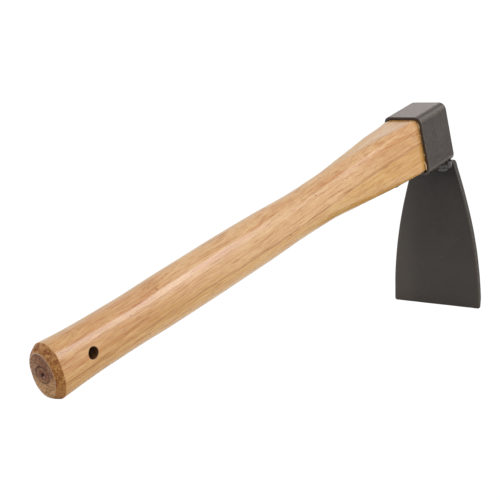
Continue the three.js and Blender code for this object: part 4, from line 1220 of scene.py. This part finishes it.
# ------------------------------------------------------------------ torn wood at the tube's mouth
def sliver(g, pts, width, thick, face_dir, up_dir):
    """A thin curl of wood along pts, pointed at both ends. face_dir is across the thickness."""
    pts = np.asarray(pts, float)
    n = len(pts)
    rings = []
    for i, p in enumerate(pts):
        t = i / (n - 1)
        k = max(0.06, math.sin(math.pi * min(0.97, 0.08 + 0.9 * t)) ** 0.6)
        w = width * k * (1 + 0.25 * float(wave(i * 1.3, width)))
        th = thick * (0.5 + 0.5 * k)
        f, u_ = np.asarray(face_dir, float), np.asarray(up_dir, float)
        ring = [p + u_ * w / 2 + f * th * 0.2, p + u_ * w * 0.2 + f * th / 2, p - u_ * w * 0.2 + f * th / 2, p - u_ * w / 2 + f * th * 0.2,
                p - u_ * w / 2 - f * th * 0.2, p - u_ * w * 0.2 - f * th / 2, p + u_ * w * 0.2 - f * th / 2, p + u_ * w / 2 - f * th * 0.2]
        rings.append(g.ring(ring))
    for a, b in zip(rings[:-1], rings[1:]):
        g.skin(a, b)
    g.fan(rings[0], g.point(np.mean([g.P[i] for i in rings[0]], 0)))
    g.fan(rings[-1], g.point(np.mean([g.P[i] for i in rings[-1]], 0)))


g = Cloud()
MX = -COLLAR_L / 2  # x of the tube's mouth
IN_Y = -(COLLAR_W / 2 - WALL)  # inner face of the tube on the near side
def run(z0, z1, y, x, n=18, wob=0.15, lean=0.0):
    t = np.linspace(0, 1, n)
    # rooted in the flank at one end, and curling away from it
    wood_y = -float(half_at(-x)) + 0.3 + 0.12
    out = wood_y + (y - wood_y) * ease(t / 0.45)
    return np.stack([x + wob * wave(t * 5, z0) + lean * t, out + 0.10 * wave(t * 4, z0 + 2) * ease(t / 0.45), z0 + (z1 - z0) * t], 1)
sliver(g, run(21.0, 15.4, IN_Y - 0.10, MX - 0.85, lean=0.2), 1.0, 0.28, (0, 1, 0), (1, 0, 0))
sliver(g, run(11.0, 8.9, IN_Y - 0.15, MX - 0.62), 0.6, 0.25, (0, 1, 0), (1, 0, 0))
sliver(g, run(4.4, 2.8, IN_Y - 0.15, MX - 0.58), 0.5, 0.22, (0, 1, 0), (1, 0, 0))
sliver(g, run(-5.4, -8.0, IN_Y - 0.15, MX - 0.66), 0.8, 0.25, (0, 1, 0), (1, 0, 0))
sliver(g, run(-12.4, -20.2, IN_Y - 0.20, MX - 0.95, lean=-0.3), 1.3, 0.34, (0, 1, 0), (1, 0, 0))
sliver(g, np.stack([MX - 0.35 + 0.12 * wave(np.linspace(0, 4, 12), 0.5), np.linspace(-9.5, -13.4, 12), 22.15 + 0.15 * np.sin(np.linspace(0, 3, 12))], 1), 1.0, 0.4, (0, 0, 1), (1, 0, 0))
slivers = build("handle_slivers", g.P, g.F, M_RAW)

# ------------------------------------------------------------------ frame bookkeeping
for ob, slot_name, node in (
    (handle, "handle_wood", "handle"),
    (slivers, "handle_wood", None),
    (wood_wedge, "wedge_wood", "wood_wedge"),
    (steel_wedge, "wedge_steel", "steel_wedge"),
    (shim, "wedge_steel", "steel_shim"),
    (collar, "tube_steel", "collar"),
    (blade, "blade_steel", "blade"),
    (weld_in, "weld_steel", "weld_bead_inner"),
    (weld_out, "weld_steel", "weld_bead_outer"),
):
    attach(ob, "root")
    if node:
        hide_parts(node)

# ------------------------------------------------------------------ floor
me = bpy.data.meshes.new("floor")
bm = bmesh.new()
bmesh.ops.create_grid(bm, x_segments=40, y_segments=40, size=9.0)
bm.to_mesh(me)
bm.free()
floor = bpy.data.objects.new("floor", me)
floor.location = (0.0, 0.0, 0.0)
bpy.context.scene.collection.objects.link(floor)
nf = Nodes("floor_paper")
pf = nf.new("ShaderNodeTexCoord").outputs["Object"]
paper = nf.noise(pf, 9.0, 3.0, 0.5)
nf.put(nf.bsdf.inputs["Base Color"], nf.mix(paper, (0.86, 0.86, 0.86, 1), (0.90, 0.90, 0.90, 1)))
nf.bsdf.inputs["Roughness"].default_value = 0.9
nf.bsdf.inputs["Specular IOR Level"].default_value = 0.1
nf_white = nf.new("ShaderNodeEmission")
nf_white.inputs["Color"].default_value = (1, 1, 1, 1)
nf_white.inputs["Strength"].default_value = 1.05
nf_seen = nf.new("ShaderNodeLightPath")
nf_mix = nf.new("ShaderNodeMixShader")
nf.t.links.new(nf_seen.outputs["Is Camera Ray"], nf_mix.inputs[0])
nf.t.links.new(nf.bsdf.outputs[0], nf_mix.inputs[1])
nf.t.links.new(nf_white.outputs[0], nf_mix.inputs[2])
nf.t.links.new(nf_mix.outputs[0], nf.out.inputs[0])
me.materials.append(nf.mat)

# ------------------------------------------------------------------ world and lights
world = bpy.data.worlds.new("studio")
bpy.context.scene.world = world
world.use_nodes = True
wt = world.node_tree
wt.nodes.clear()
wout = wt.nodes.new("ShaderNodeOutputWorld")
bg = wt.nodes.new("ShaderNodeBackground")
bg.inputs["Color"].default_value = (1, 1, 1, 1)
bg.inputs["Strength"].default_value = 0.86
bgc = wt.nodes.new("ShaderNodeBackground")
bgc.inputs["Color"].default_value = (1, 1, 1, 1)
bgc.inputs["Strength"].default_value = 1.05
lp = wt.nodes.new("ShaderNodeLightPath")
mx = wt.nodes.new("ShaderNodeMixShader")
wt.links.new(lp.outputs["Is Camera Ray"], mx.inputs[0])
wt.links.new(bg.outputs[0], mx.inputs[1])
wt.links.new(bgc.outputs[0], mx.inputs[2])
wt.links.new(mx.outputs[0], wout.inputs[0])


def soft_light(name, aim, azimuth, elevation, distance, width, height, radiance, tint=(1, 1, 1), only=None):
    """A rectangular softbox. azimuth is the world angle in the floor plane, from +X towards +Y, in degrees; radiance is its brightness as seen."""
    a, e = math.radians(azimuth), math.radians(elevation)
    d = Vector((math.cos(a) * math.cos(e), math.sin(a) * math.cos(e), math.sin(e)))
    data = bpy.data.lights.new(name, "AREA")
    data.shape = "RECTANGLE"
    data.size, data.size_y = width, height
    data.energy = radiance * math.pi * math.pi * width * height / math.pi * 1.0
    data.color = tint
    ob = bpy.data.objects.new(name, data)
    ob.location = Vector(aim) + d * distance
    ob.rotation_mode = "QUATERNION"
    ob.rotation_quaternion = d.to_track_quat("Z", "Y")
    bpy.context.scene.collection.objects.link(ob)
    if only is not None:
        group = bpy.data.collections.new(name + "_on")
        for piece in only:
            group.objects.link(piece)
        ob.light_linking.receiver_collection = group
    return ob


aim = tuple(head_to_world([-300.0, 0.0, 0.0]))
soft_light("key_top", aim, -58.0, 35.0, 1.05, 0.36, 0.14, 5.7, (0.97, 0.985, 1.0))
soft_light("key_mid", aim, -58.0, 27.0, 1.05, 0.36, 0.15, 4.0, (0.97, 0.985, 1.0))
soft_light("key_low", aim, -58.0, 18.0, 1.05, 0.36, 0.17, 1.8, (0.97, 0.985, 1.0))
head = tuple(head_to_world([0.0, 0.0, COLLAR_H / 2]))
soft_light("back_card", head, 41.0, 29.0, 0.8, 0.70, 0.40, 1.15, (1.0, 0.87, 0.81), [collar])
joint = tuple(head_to_world([12.0, -16.0, UNDER_Z - 3.0]))
soft_light("weld_card", joint, -112.0, 8.0, 0.6, 0.16, 0.10, 6.5, (1.0, 0.97, 0.94), [weld_in, weld_out])
soft_light("corner_card", head, -34.0, 41.0, 0.9, 0.30, 0.34, 2.4, (1.0, 0.93, 0.88), [collar])

# ------------------------------------------------------------------ camera
cam = bpy.data.cameras.new("camera")
cam.sensor_fit = "HORIZONTAL"
cam.sensor_width = 36.0
cam.lens = 98.10217521334118
cam.clip_start, cam.clip_end = 0.01, 60.0
cam.dof.use_dof = False
cam_ob = bpy.data.objects.new("camera", cam)
R = np.array(
    [
        [0.66504354731847, 0.11205571599202548, -0.7383499147989254],
        [-0.7464171917955361, 0.06789520280854186, -0.662005753168092],
        [-0.024051111453147936, 0.9913797243988307, 0.12879357937710542],
    ]
)
M4 = Matrix([[*R[0], -0.7544672738840218], [*R[1], -0.6575762695331582], [*R[2], 0.20225011809335336], [0, 0, 0, 1]])
cam_ob.matrix_world = M4
bpy.context.scene.collection.objects.link(cam_ob)
bpy.context.scene.camera = cam_ob

bpy.context.scene.view_settings.view_transform = "Standard"
bpy.context.scene.view_settings.look = "None"

bpy.context.view_layer.update()
